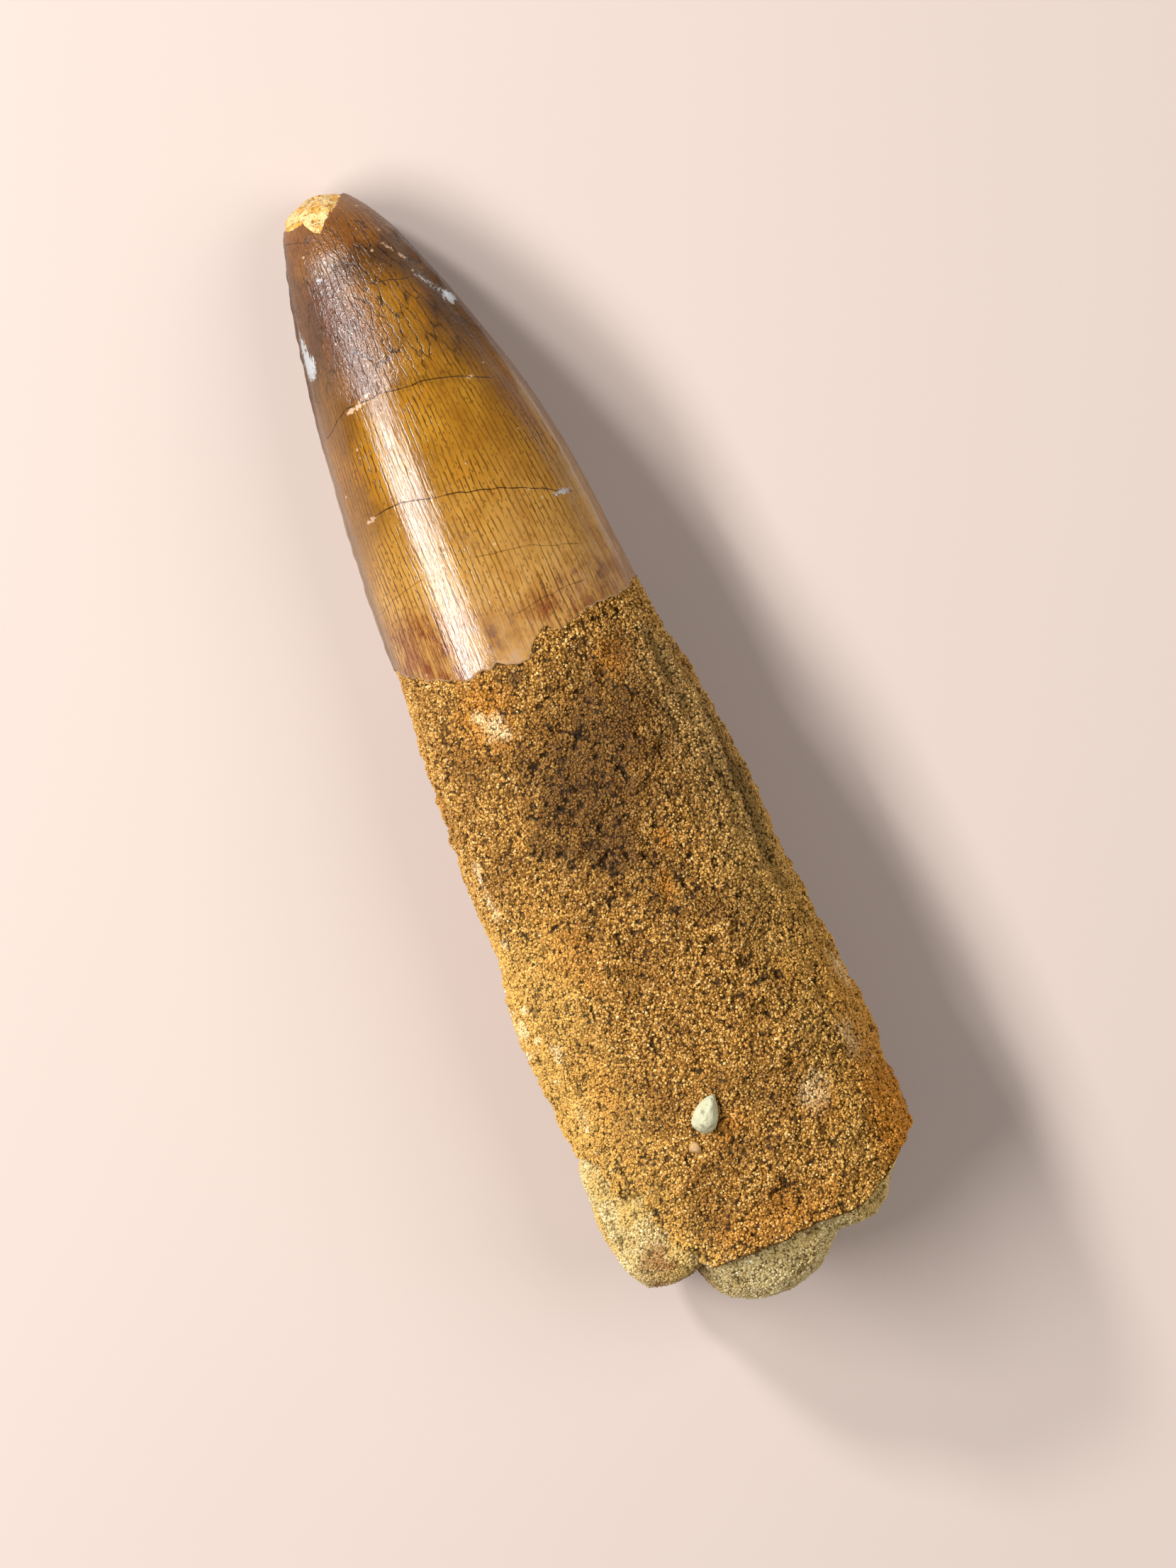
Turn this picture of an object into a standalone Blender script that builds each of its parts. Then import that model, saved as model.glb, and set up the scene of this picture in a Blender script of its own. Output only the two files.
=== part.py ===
"""A fossil spinosaurus tooth, lying on the flattened underside of its root.

The enamel crown and the sand-crusted root grew as one tooth, and are one solid. Hardened sandstone
fills the open pulp cavity at the broken root end and sticks out past it, and a small pale pebble is
stuck on the root. Metres, +Z up. +X runs from the crown's tip to the broken end, +Y to the tooth's
right when it is seen from above with its tip away from the viewer. The origin is on the surface
that the tooth lies on, under the middle of its bounding box.
"""

import math

import bmesh
import bpy
import numpy as np
from mathutils import Vector, noise
from mathutils.bvhtree import BVHTree

MM = 0.001

# Driving dimensions in millimetres. A distance is measured from the crown's tip, along +X.
LENGTH = 105.8
CROWN_LENGTH = 43.6
WALL_END = 101.0
WALL = 1.6
GAP = 0.3

# The outline seen from above: the distance from the tip, then the left and the right edge.
OUTLINE_AT = (0.0, 8.0, 19.0, 31.0, 42.0, 53.0, 65.0, 76.0, 85.0, 97.0, 110.0)
LEFT_EDGE = (-6.3, -8.1, -10.2, -11.5, -12.3, -12.9, -13.9, -14.5, -14.3, -14.6, -14.8)
RIGHT_EDGE = (0.9, 4.1, 7.6, 9.9, 10.8, 12.0, 13.0, 13.7, 14.3, 14.7, 14.8)
TIP_DOME = 2.2

# Half the thickness as a share of half the width, and how far the crown lifts off the surface.
THICKNESS_AT = (0.0, 20.0, 44.0, 70.0, 110.0)
THICKNESS_SHARE = (0.92, 0.86, 0.81, 0.76, 0.73)
TIP_LIFT = 1.6
LIFT_ENDS = 50.0
FLAT_DEPTH = 0.55

# The squareness of a section: 2 is an ellipse.
CROWN_SQUARENESS = 2.05
ROOT_SQUARENESS = 2.35

# The lower rim of the enamel, by the angle round the tooth from +Y over the top.
RIM_ANGLE = (0, 35, 55, 62, 72, 84, 112, 125, 140, 160, 180, 225, 270, 315)
RIM_AT = (42.3, 43.1, 43.5, 44.1, 43.4, 45.3, 45.1, 44.4, 43.3, 42.2, 41.2, 42.6, 44.0, 42.9)
RIM_STEP = 0.35

# The rim of the enamel round the worn tip, in the same way.
WORN_ANGLE = (0, 40, 70, 95, 120, 150, 180, 230, 290, 330)
WORN_AT = (0.5, 0.7, 1.9, 3.1, 1.8, 1.9, 1.6, 2.4, 2.0, 0.9)
WORN_STEP = 0.2

# The two keels that run down the crown's sides.
KEEL_ANGLES = (22.0, 184.0)
KEEL_HEIGHT = 0.28
KEEL_HALF_WIDTH = 6.0

# Where the left wall is broken away and the sandstone shows: half its spread round its angle.
FLANK_ANGLE = 184.0
FLANK_AT = (84.0, 89.0, 93.4, 98.2, 101.0)
FLANK_HALF_SPREAD = (0.0, 32.0, 43.0, 54.0, 62.0)
FLANK_EDGE = 9.0
FLANK_RECESS = 0.25

# The sandstone's broken face seen from above: a distance to the right, then how far it reaches.
FACE = (
    (-14.5, 95), (-13.1, 99), (-11.9, 100.8), (-9.6, 100.6), (-8.6, 100.2), (-6.9, 103.3),
    (-6, 104.7), (-4.1, 105.4), (-2.6, 105.8), (-0.4, 105.4), (1.5, 104.9), (3.1, 103.8),
    (4.3, 102.3), (8.3, 102.3), (9.8, 101.2), (10.9, 99.7), (14.6, 97),
)
FACE_BASE = 99.0
CAVITY_STARTS = 78.0
CAVITY_FULL = 90.0

PEBBLE_AT = 88.5
PEBBLE_Y = -1.8
PEBBLE_SIZE = (3.4, 2.3, 1.4)
PEBBLE_TURN = math.radians(140.0)

TOOTH_SEGMENTS = 52
WORN_ROWS = 4
CROWN_ROWS = 18
ROOT_ROWS = 30
BREAK_ROWS = 3
SAND_SEGMENTS = 52
SAND_ROWS = 12
FACE_ROWS = 11


def smooth(at, stations, values):
    """Values at the given places on a cubic curve through the stations, with averaged slopes."""
    x, v = np.asarray(stations, float), np.asarray(values, float)
    slope = np.gradient(v, x)
    at = np.clip(at, x[0], x[-1])
    i = np.clip(np.searchsorted(x, at, side="right") - 1, 0, len(x) - 2)
    h = x[i + 1] - x[i]
    t = (at - x[i]) / h
    start = (1 + 2 * t) * (1 - t) ** 2 * v[i] + t * (1 - t) ** 2 * h * slope[i]
    end = t * t * (3 - 2 * t) * v[i + 1] + t * t * (t - 1) * h * slope[i + 1]
    return start + end


def step(low, high, value):
    """0 below low, 1 above high, and an even S between them."""
    t = np.clip((value - low) / (high - low), 0.0, 1.0)
    return t * t * (3 - 2 * t)


def round_the_tooth(angle, stations, values):
    """Values round a closed rim given by its angle stations in degrees."""
    turned = np.degrees(angle) % 360.0
    return np.interp(turned, (*stations, 360), (*values, values[0]))


def angle_from(angle, middle):
    """How far an angle in radians is from a middle in degrees, in degrees."""
    return np.abs((np.degrees(angle) - middle + 180.0) % 360.0 - 180.0)


def rough(points, size, seed):
    """Smooth noise from -1 to 1 at each point, with bumps about this size in millimetres."""
    shift = Vector((seed * 7.3, seed * -3.1, seed * 5.9))
    return np.array([noise.noise(Vector(p) / size + shift) for p in points])


def section(distance, angle, inset=0.0):
    """Points of the tooth's smooth skin, moved in by inset, at distances from the tip and angles."""
    left = smooth(distance, OUTLINE_AT, LEFT_EDGE)
    right = smooth(distance, OUTLINE_AT, RIGHT_EDGE)
    half_width = (right - left) / 2
    half_height = half_width * smooth(distance, THICKNESS_AT, THICKNESS_SHARE)
    dome_at = np.clip(1 - distance / TIP_DOME, 0.0, 1.0)
    dome = np.sqrt(1 - dome_at**2)
    square = CROWN_SQUARENESS + (ROOT_SQUARENESS - CROWN_SQUARENESS) * step(35, 60, distance)
    across, up = np.abs(np.cos(angle)), np.abs(np.sin(angle))
    reach = (across / half_width) ** square + (up / half_height) ** square
    radius = reach ** (-1 / square) * dome - inset
    radius = radius * np.where(dome > 0, 1.0, 0.0)
    lift = TIP_LIFT * (1 - step(0, LIFT_ENDS, distance)) ** 1.3
    middle_z = lift + half_height - FLAT_DEPTH * step(25, 50, distance)
    return np.stack(
        [
            distance - LENGTH / 2,
            (left + right) / 2 + radius * np.cos(angle),
            middle_z + radius * np.sin(angle),
        ],
        axis=-1,
    )


def keel(distance, angle):
    """Height of the two keels, which fade out at the enamel's lower rim and at the tip."""
    near = sum(np.exp(-((angle_from(angle, a) / KEEL_HALF_WIDTH) ** 2)) for a in KEEL_ANGLES)
    return KEEL_HEIGHT * near * step(3, 9, distance) * (1 - step(38, 46, distance))


def crust_relief(distance, angle):
    """Height of the root's lumps, pits and lengthwise ridges over its smooth skin."""
    points = section(distance, angle)
    lumps = 0.34 * rough(points, 7.0, 1) + 0.24 * rough(points, 3.2, 2)
    pits = -0.5 * np.clip(rough(points, 4.2, 3) - 0.25, 0.0, 1.0)
    along = points * np.array([0.16, 1.0, 1.0])
    right_side = np.clip(1 - angle_from(angle, 18) / 40, 0.0, 1.0)
    ridges = 0.45 * rough(along, 2.3, 4) * right_side * (1 - step(72, 84, distance))
    upper = 0.3 + 0.7 * step(-0.95, -0.5, np.sin(angle))
    return (lumps + pits + ridges) * upper * step(43, 50, distance)


def wall_end(angle):
    """How far from the tip the broken root wall ends, cut back at its right corner."""
    y = section(np.full_like(angle, WALL_END), angle)[:, 1]
    corner = np.clip((y - 6.6) / 8.0, 0.0, 1.0) ** 1.5
    underside = 2.2 * np.clip(-np.sin(angle), 0.0, 1.0)
    return WALL_END - 4.7 * corner - underside + 0.25 * np.cos(11 * angle)


def settle(points):
    """Presses the underside flat where it meets the surface that the tooth lies on."""
    points[:, 2] = np.maximum(points[:, 2], 0.0)
    return points


def sphere_rows(segments, rows):
    """A closed primitive sphere, with each vertex's row from pole to pole and its angle."""
    mesh = bmesh.new()
    bmesh.ops.create_uvsphere(mesh, u_segments=segments, v_segments=rows, radius=1.0)
    places = np.array([v.co for v in mesh.verts])
    row = np.rint(np.arccos(np.clip(-places[:, 2], -1, 1)) / math.pi * rows).astype(int)
    return mesh, row, np.arctan2(places[:, 1], places[:, 0])


def new_object(name, mesh, points, material, collection):
    """Moves the primitive's vertices to the points, in millimetres, and makes it an object."""
    for vertex, point in zip(mesh.verts, points):
        vertex.co = Vector(point) * MM
    data = bpy.data.meshes.new(name)
    mesh.to_mesh(data)
    mesh.free()
    made = bpy.data.objects.new(name, data)
    collection.objects.link(made)
    if material:
        data.materials.append(material)
        data.shade_smooth()
        data.set_sharp_from_angle(angle=math.radians(40))
    return made


def new_material(name, colour, roughness):
    """A plain finish in one colour."""
    made = bpy.data.materials.new(name)
    made.use_nodes = True
    shader = made.node_tree.nodes["Principled BSDF"]
    shader.inputs["Base Color"].default_value = (*colour, 1.0)
    shader.inputs["Roughness"].default_value = roughness
    shader.inputs["Metallic"].default_value = 0.0
    return made


def tooth_points(row, angle):
    """Crown and root: the worn tip, the enamel with its step at each end, the root, the break."""
    worn = round_the_tooth(angle, WORN_ANGLE, WORN_AT)
    rim = round_the_tooth(angle, RIM_ANGLE, RIM_AT)
    ends = wall_end(angle)
    crown_first = WORN_ROWS + 1
    root_first = crown_first + CROWN_ROWS + 1
    break_first = root_first + ROOT_ROWS

    in_worn = row <= WORN_ROWS
    in_crown = (row >= crown_first) & (row < root_first)
    in_root = (row >= root_first) & (row <= break_first)
    in_break = row > break_first

    distance = np.zeros(len(row))
    inset = np.zeros(len(row))
    share = row / WORN_ROWS
    distance[in_worn] = (worn * share**1.6)[in_worn]
    inset[in_worn] = WORN_STEP * np.minimum(share, 1.0)[in_worn]
    share = np.maximum(row - crown_first, 0) / CROWN_ROWS
    distance[in_crown] = (worn + 0.12 + (rim - worn - 0.12) * share**1.15)[in_crown]
    share = (row - root_first) / ROOT_ROWS
    distance[in_root] = (rim + 0.2 + (ends - rim - 0.2) * share)[in_root]
    inset[in_root] = (RIM_STEP * (1 - step(44, 56, distance)))[in_root]
    distance[in_break] = (ends + 0.1)[in_break]

    raised = np.where(in_crown, keel(distance, angle), 0.0)
    raised += np.where(in_root | in_break, crust_relief(distance, angle), 0.0)
    points = section(distance, angle, inset - raised)
    towards_middle = np.where(in_break, (row - break_first) / BREAK_ROWS, 0.0)
    middle = section(distance, angle, 0.0)[in_break].mean(axis=0)
    points += (middle - points) * towards_middle[:, None]
    points[:, 0] = np.where(in_break, (ends - 1.4 * towards_middle) - LENGTH / 2, points[:, 0])
    return settle(points)


def wall_thickness(distance, angle, grow):
    """The root wall round the sandstone, broken away on the left flank near the end."""
    spread = np.interp(distance, FLANK_AT, FLANK_HALF_SPREAD) + 3 * np.sin(0.9 * distance)
    inside = spread + 12 * grow - angle_from(angle, FLANK_ANGLE)
    missing = step(0, FLANK_EDGE, inside) * step(FLANK_AT[0], FLANK_AT[1], distance)
    return WALL + (FLANK_RECESS - WALL) * missing, missing


def sandstone_side(distance, angle, grow):
    """Points of the sandstone's side, which tapers to a blunt cone deep in the cavity."""
    wall, missing = wall_thickness(distance, angle, grow)
    taper = np.clip((distance - CAVITY_STARTS) / (CAVITY_FULL - CAVITY_STARTS), 0.0, 1.0)
    share = np.sqrt(1 - (1 - taper) ** 2) * (0.62 + 0.38 * taper)
    inset = wall - crust_relief(distance, angle) - grow * (1 + 3 * missing)
    outside = section(distance, angle, inset)
    middle = section(distance, angle, 1e3)
    middle[:, 1:] = section(distance, angle)[:, 1:].mean(axis=0)
    return middle + (outside - middle) * share[:, None]


def face_reach(y):
    """How far from the tip the sandstone reaches, at each distance to the right."""
    return np.interp(y, [place[0] for place in FACE], [place[1] for place in FACE])


def side_end(angle):
    """How far from the tip the sandstone's side ends, cut back at its corners."""
    return np.minimum(FACE_BASE, face_reach(section(np.full_like(angle, FACE_BASE), angle, WALL)[:, 1]))


def sandstone_face(points):
    """How far from the tip the broken sandstone face reaches, at each point's place on it."""
    upper = 0.3 + 0.7 * step(3.0, 12.0, points[:, 2])
    return FACE_BASE + (face_reach(points[:, 1]) - FACE_BASE) * upper


def sandstone_points(row, angle, rows_in_side, rows_in_face):
    """The blunt inner cone, the side, and the lobed broken face."""
    share = np.minimum(row / rows_in_side, 1.0)
    distance = CAVITY_STARTS + (side_end(angle) - CAVITY_STARTS) * share**1.25
    points = sandstone_side(distance, angle, 0.0)
    on_face = row > rows_in_side
    part = np.clip((row - rows_in_side) / rows_in_face, 0.0, 1.0)
    reach = np.interp(part, (0.0, 0.12, 0.24, 0.36, 1.0), (1.0, 0.985, 0.955, 0.88, 0.0))
    rise = np.interp(part, (0.0, 0.12, 0.24, 0.36, 1.0), (0.0, 0.45, 0.8, 0.96, 1.0))
    middle = points[on_face].mean(axis=0)
    spread = middle + (points - middle) * reach[:, None]
    face = sandstone_face(spread) + 0.25 * rough(spread, 2.4, 6)
    ends = side_end(angle)
    spread[:, 0] = ends + (face - ends) * rise - LENGTH / 2
    points[on_face] = spread[on_face]
    return settle(points)


def cavity_points(row, angle, rows_in_side, rows):
    """The cutter for the pulp cavity: the sandstone's side grown by the gap, run past the end."""
    share = np.minimum(row / rows_in_side, 1.0)
    ends = side_end(angle)
    distance = CAVITY_STARTS + (ends - CAVITY_STARTS) * share**1.25
    past = np.clip((row - rows_in_side) / (rows - 1 - rows_in_side), 0.0, 1.0)
    distance = distance + (LENGTH + 4 - ends) * past
    points = sandstone_side(distance, angle, GAP)
    points[row == 0, 0] -= GAP
    last = row == rows
    points[last] = points[row == rows - 1].mean(axis=0)
    return points


def height_over(crust, x, y):
    """Height of the crust's faces over the surface, at places seen from above."""
    down = Vector((0, 0, -1))
    return np.array([crust.ray_cast(Vector((a, b, LENGTH)) * MM, down)[0].z for a, b in zip(x, y)]) / MM


def pebble_points(directions, crust):
    """A drop-shaped pebble seated the gap above the crust, from a primitive sphere's directions."""
    length, width, height = PEBBLE_SIZE
    lumpy = 1 + 0.08 * rough(directions * 3, 1.4, 8)
    along = directions[:, 0] * length / 2 * lumpy
    aside = directions[:, 1] * width / 2 * (1 - 0.28 * directions[:, 0]) * lumpy
    x = PEBBLE_AT - LENGTH / 2 + along * math.cos(PEBBLE_TURN) - aside * math.sin(PEBBLE_TURN)
    y = PEBBLE_Y + along * math.sin(PEBBLE_TURN) + aside * math.cos(PEBBLE_TURN)
    rise = np.maximum(directions[:, 2] * 0.75 * lumpy, -0.25) + 0.25
    return np.stack([x, y, height_over(crust, x, y) + GAP + rise * height], axis=-1)


def build_tooth(collection, cutters):
    """The tooth, with the pulp cavity cut into its broken end."""
    rows = WORN_ROWS + 1 + CROWN_ROWS + 1 + ROOT_ROWS + BREAK_ROWS
    mesh, row, angle = sphere_rows(TOOTH_SEGMENTS, rows)
    brown = new_material("iron_stained_fossil", (0.24, 0.13, 0.04), 0.75)
    tooth = new_object("tooth", mesh, tooth_points(row, angle), brown, collection)

    cutter_rows = SAND_ROWS + 5
    mesh, row, angle = sphere_rows(SAND_SEGMENTS, cutter_rows)
    points = cavity_points(row, angle, SAND_ROWS, cutter_rows)
    cavity = new_object("pulp_cavity_cutter", mesh, points, None, cutters)
    cavity.hide_render = True
    cavity.display_type = "WIRE"
    cut = tooth.modifiers.new("pulp_cavity", "BOOLEAN")
    cut.operation = "DIFFERENCE"
    cut.object = cavity
    return tooth


def build_sandstone(collection):
    """The hardened sand in the pulp cavity."""
    mesh, row, angle = sphere_rows(SAND_SEGMENTS, SAND_ROWS + FACE_ROWS)
    buff = new_material("buff_sandstone", (0.55, 0.44, 0.24), 0.95)
    points = sandstone_points(row, angle, SAND_ROWS, FACE_ROWS)
    return new_object("sandstone_fill", mesh, points, buff, collection)


def build_pebble(collection, tooth):
    """The pale pebble on the upper side of the root."""
    crust = BVHTree.FromObject(tooth, bpy.context.evaluated_depsgraph_get())
    mesh = bmesh.new()
    bmesh.ops.create_icosphere(mesh, subdivisions=3, radius=1.0)
    points = pebble_points(np.array([v.co for v in mesh.verts]), crust)
    pale = new_material("pale_pebble", (0.56, 0.55, 0.40), 0.8)
    return new_object("pebble", mesh, points, pale, collection)


def new_collection(name):
    """An empty collection in the scene."""
    made = bpy.data.collections.new(name)
    bpy.context.scene.collection.children.link(made)
    return made


def main():
    for leftover in list(bpy.data.objects):
        bpy.data.objects.remove(leftover)
    parts = new_collection("fossil_spinosaurus_tooth")
    cutters = new_collection("cutters")
    tooth = build_tooth(parts, cutters)
    build_sandstone(parts)
    build_pebble(parts, tooth)


main()
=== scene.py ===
"""A fossil spinosaurus tooth: glossy amber enamel over a sand-crusted root that is filled with sandstone.

The tooth lies on the flattened underside of its root. Every shape is worked out in millimetres, in
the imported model's frame: +X runs from the crown's tip to the broken root end, +Y to the tooth's right
when it is seen from above with its tip away from the viewer, and +Z up. Most shapes are given by two
numbers: the distance along the tooth from its tip, and the angle round it from +Y over the top.
"""

from __future__ import annotations

import logging
import math
from dataclasses import dataclass, field
from enum import Enum

import bpy
import numpy as np
from mathutils import Matrix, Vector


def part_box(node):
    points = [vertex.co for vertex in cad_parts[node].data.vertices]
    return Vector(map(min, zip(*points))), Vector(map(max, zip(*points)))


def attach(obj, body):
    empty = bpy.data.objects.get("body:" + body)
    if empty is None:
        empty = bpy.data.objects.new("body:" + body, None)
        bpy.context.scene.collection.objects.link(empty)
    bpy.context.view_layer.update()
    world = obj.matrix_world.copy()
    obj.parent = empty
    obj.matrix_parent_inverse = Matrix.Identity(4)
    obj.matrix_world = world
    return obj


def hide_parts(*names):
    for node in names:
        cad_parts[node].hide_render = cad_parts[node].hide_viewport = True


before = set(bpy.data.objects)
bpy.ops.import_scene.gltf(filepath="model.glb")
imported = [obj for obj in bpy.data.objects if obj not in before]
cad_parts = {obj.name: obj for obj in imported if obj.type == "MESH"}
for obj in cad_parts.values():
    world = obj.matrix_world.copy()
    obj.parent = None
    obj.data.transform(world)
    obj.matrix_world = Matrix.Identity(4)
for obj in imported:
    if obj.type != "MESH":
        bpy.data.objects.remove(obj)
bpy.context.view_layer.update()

# Metres in a millimetre, the tooth's length, and the mean radius that patterns round it are laid out on.
MM = 0.001
LENGTH = 105.8
MEAN_RADIUS = 10.5
log = logging.getLogger("fossil_tooth")

Socket = bpy.types.NodeSocket
Sockets = dict[str, bpy.types.NodeSocket]


def smooth(at: np.ndarray, stations: tuple[float, ...], values: tuple[float, ...]) -> np.ndarray:
    """Reads a smooth curve through stations: a cubic between each two, with averaged slopes.

    Args:
        at: Where the curve is read.
        stations: Rising places that the curve is given at.
        values: The curve's value at each station.

    Returns:
        The curve's values.
    """
    x, v = np.asarray(stations, float), np.asarray(values, float)
    slope = np.gradient(v, x)
    at = np.clip(at, x[0], x[-1])
    i = np.clip(np.searchsorted(x, at, side="right") - 1, 0, len(x) - 2)
    h = x[i + 1] - x[i]
    t = (at - x[i]) / h
    start = (1 + 2 * t) * (1 - t) ** 2 * v[i] + t * (1 - t) ** 2 * h * slope[i]
    return start + t * t * (3 - 2 * t) * v[i + 1] + t * t * (t - 1) * h * slope[i + 1]


def step(low: float, high: float, value: np.ndarray) -> np.ndarray:
    """Rises from 0 at low to 1 at high along the S-curve 3t^2 - 2t^3.

    Args:
        low: Value at and below which the result is 0.
        high: Value at and above which the result is 1.
        value: The values to grade.

    Returns:
        A number from 0 to 1 for each value.
    """
    t = np.clip((value - low) / (high - low), 0.0, 1.0)
    return t * t * (3 - 2 * t)


def bell(value: np.ndarray, middle: float, half_width: float) -> np.ndarray:
    """A bump of height 1: e to the minus squared distance from the middle over the half width."""
    return np.exp(-(((value - middle) / half_width) ** 2))


def all_round(columns: int) -> np.ndarray:
    """Angles of a ring's vertices: once round the tooth, rising, from straight down."""
    return np.linspace(-math.pi / 2, 1.5 * math.pi, columns, endpoint=False)


def on_circle(angle: np.ndarray, radius: float) -> np.ndarray:
    """Points on a circle round the tooth's axis, where the noise of an edge is read."""
    return np.stack([0 * angle, radius * np.cos(angle), radius * np.sin(angle)], axis=-1)


def hashed(cell: np.ndarray, seed: int) -> np.ndarray:
    """Gives each whole-number cell of space a repeatable random number.

    The three numbers are multiplied by large primes, added, and mixed by shifts and a product.

    Args:
        cell: Whole numbers, the last axis holding x, y and z.
        seed: Picks one of many independent sets of numbers.

    Returns:
        A number from 0 to 1 for each cell.
    """
    mask = 0xFFFFFFFF
    mixed = (cell[..., 0] * 73856093) ^ (cell[..., 1] * 19349663) ^ (cell[..., 2] * 83492791)
    mixed = (mixed + seed * 668265263) & mask
    mixed = ((mixed ^ (mixed >> 13)) * 1274126177) & mask
    mixed = ((mixed ^ (mixed >> 16)) * 374761393) & mask
    return (mixed ^ (mixed >> 15)) / mask


def noise(points: np.ndarray, size: float, seed: int, octaves: int = 1) -> np.ndarray:
    """Smooth random bumps of about the given size.

    Random numbers sit on the corners of a cubic lattice and are blended with the S-curve of each
    point's place in its cube. Each further octave halves the size and the height.

    Args:
        points: Places in millimetres, the last axis holding x, y and z.
        size: Width of a bump in millimetres.
        seed: Picks the set of random numbers.
        octaves: How many sizes are added up.

    Returns:
        A number from about -1 to 1 for each point.
    """
    total = np.zeros(points.shape[:-1])
    for octave in range(octaves):
        scaled = points * (2**octave / size) + 17.3 * seed
        corner = np.floor(scaled).astype(np.int64)
        t = scaled - corner
        t = t * t * (3 - 2 * t)
        for k in range(8):
            offset = np.array([k & 1, k >> 1 & 1, k >> 2])
            weight = np.prod(np.where(offset, t, 1 - t), axis=-1)
            total += weight * (hashed(corner + offset, seed + octave) * 2 - 1) / 2**octave
    return total


@dataclass(frozen=True)
class Skin:
    """The tooth's smooth outer form, which the crown, the root and the sandstone all follow.

    A section across the tooth is a superellipse: |y/a|^n + |z/b|^n = 1, with a from the outline seen
    from above, b a share of a, and n the squareness. The underside is pressed flat where it rests.
    """

    at: tuple[float, ...] = (
        0, 1.6, 4.3, 8, 15.6, 23, 31, 38, 45.8, 53.3, 61, 68, 76, 84, 91, 97, 110,
    )
    left: tuple[float, ...] = (
        -5.1, -6.3, -7.2, -8.05, -9.5, -10.6, -11.5, -12, -12.4, -13, -13.8, -13.8, -14.5, -14.3,
        -14.5, -14.6, -14.8,
    )
    right: tuple[float, ...] = (
        -0.2, 1.05, 2.65, 4.1, 6.6, 8.6, 9.9, 10.5, 11.1, 12.1, 12.8, 13.1, 13.8, 14.4, 14.5, 14.7, 14.8,
    )
    thickness_at: tuple[float, ...] = (0.0, 20.0, 44.0, 70.0, 110.0)
    thickness_share: tuple[float, ...] = (0.92, 0.86, 0.81, 0.76, 0.73)
    tip_lift: float = 1.6
    lift_ends: float = 50.0
    lift_curve: float = 1.3
    flat_depth: float = 0.55
    flat_reach: tuple[float, float] = (25.0, 50.0)
    tip_power: float = 2.05
    added_power: float = 0.3
    power_reach: tuple[float, float] = (35.0, 60.0)

    def half_width(self, s: np.ndarray) -> np.ndarray:
        """Half the width seen from above."""
        return (smooth(s, self.at, self.right) - smooth(s, self.at, self.left)) / 2

    def middle_y(self, s: np.ndarray) -> np.ndarray:
        """The y of the middle of a section."""
        return (smooth(s, self.at, self.right) + smooth(s, self.at, self.left)) / 2

    def middle_z(self, s: np.ndarray) -> np.ndarray:
        """The height of the middle of a section.

        Args:
            s: Distance from the tip.

        Returns:
            Half the thickness, plus the tip's lift, less what the flat underside takes off.
        """
        half_height = self.half_width(s) * smooth(s, self.thickness_at, self.thickness_share)
        lift = self.tip_lift * (1 - step(0, self.lift_ends, s)) ** self.lift_curve
        return lift + half_height - self.flat_depth * step(*self.flat_reach, s)

    def radius(self, s: np.ndarray, angle: np.ndarray) -> np.ndarray:
        """Distance from a section's middle to the skin.

        Args:
            s: Distance from the tip.
            angle: Angle round the tooth.

        Returns:
            (|cos/a|^n + |sin/b|^n)^(-1/n).
        """
        a = self.half_width(s)
        b = a * smooth(s, self.thickness_at, self.thickness_share)
        n = self.tip_power + self.added_power * step(*self.power_reach, s)
        reach = (np.abs(np.cos(angle)) / a) ** n + (np.abs(np.sin(angle)) / b) ** n
        return reach ** (-1 / n)

    def points(self, s: np.ndarray, angle: np.ndarray, out: np.ndarray | float = 0.0) -> np.ndarray:
        """Places on the skin.

        Args:
            s: Distance from the tip.
            angle: Angle round the tooth.
            out: How far outwards of the skin, away from the section's middle.

        Returns:
            Points in millimetres, none of them under the surface that the tooth lies on.
        """
        radius = np.maximum(self.radius(s, angle) + out, 0.0)
        y = self.middle_y(s) + radius * np.cos(angle)
        z = self.middle_z(s) + radius * np.sin(angle)
        return np.stack([s - LENGTH / 2 + 0 * y, y, np.maximum(z, 0.0)], axis=-1)

    def top(self, s: float, y: float) -> float:
        """The skin's height at a place seen from above, read off a ring from its left to its right."""
        ring = self.points(np.full(721, s), np.linspace(math.pi, 0, 721))
        return float(np.interp(y, ring[:, 1], ring[:, 2]))


@dataclass(frozen=True)
class Margin:
    """A broken edge that runs round the tooth, given by degrees round it and distances from the tip."""

    degrees: tuple[float, ...]
    at: tuple[float, ...]
    jag: float
    seed: int

    def read(self, angle: np.ndarray) -> np.ndarray:
        """Where the edge is: straight runs between the stations, plus jags of three sizes.

        Args:
            angle: Angles round the tooth.

        Returns:
            Distance of the edge from the tip at each angle.
        """
        base = np.interp(np.degrees(angle) % 360, (*self.degrees, 360), (*self.at, self.at[0]))
        circle = on_circle(angle, MEAN_RADIUS)
        jags = noise(circle, 1.9, self.seed) + 0.6 * noise(circle, 0.7, self.seed + 1)
        return base + self.jag * (jags + 0.6 * noise(circle, 0.4, self.seed + 2))


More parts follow.
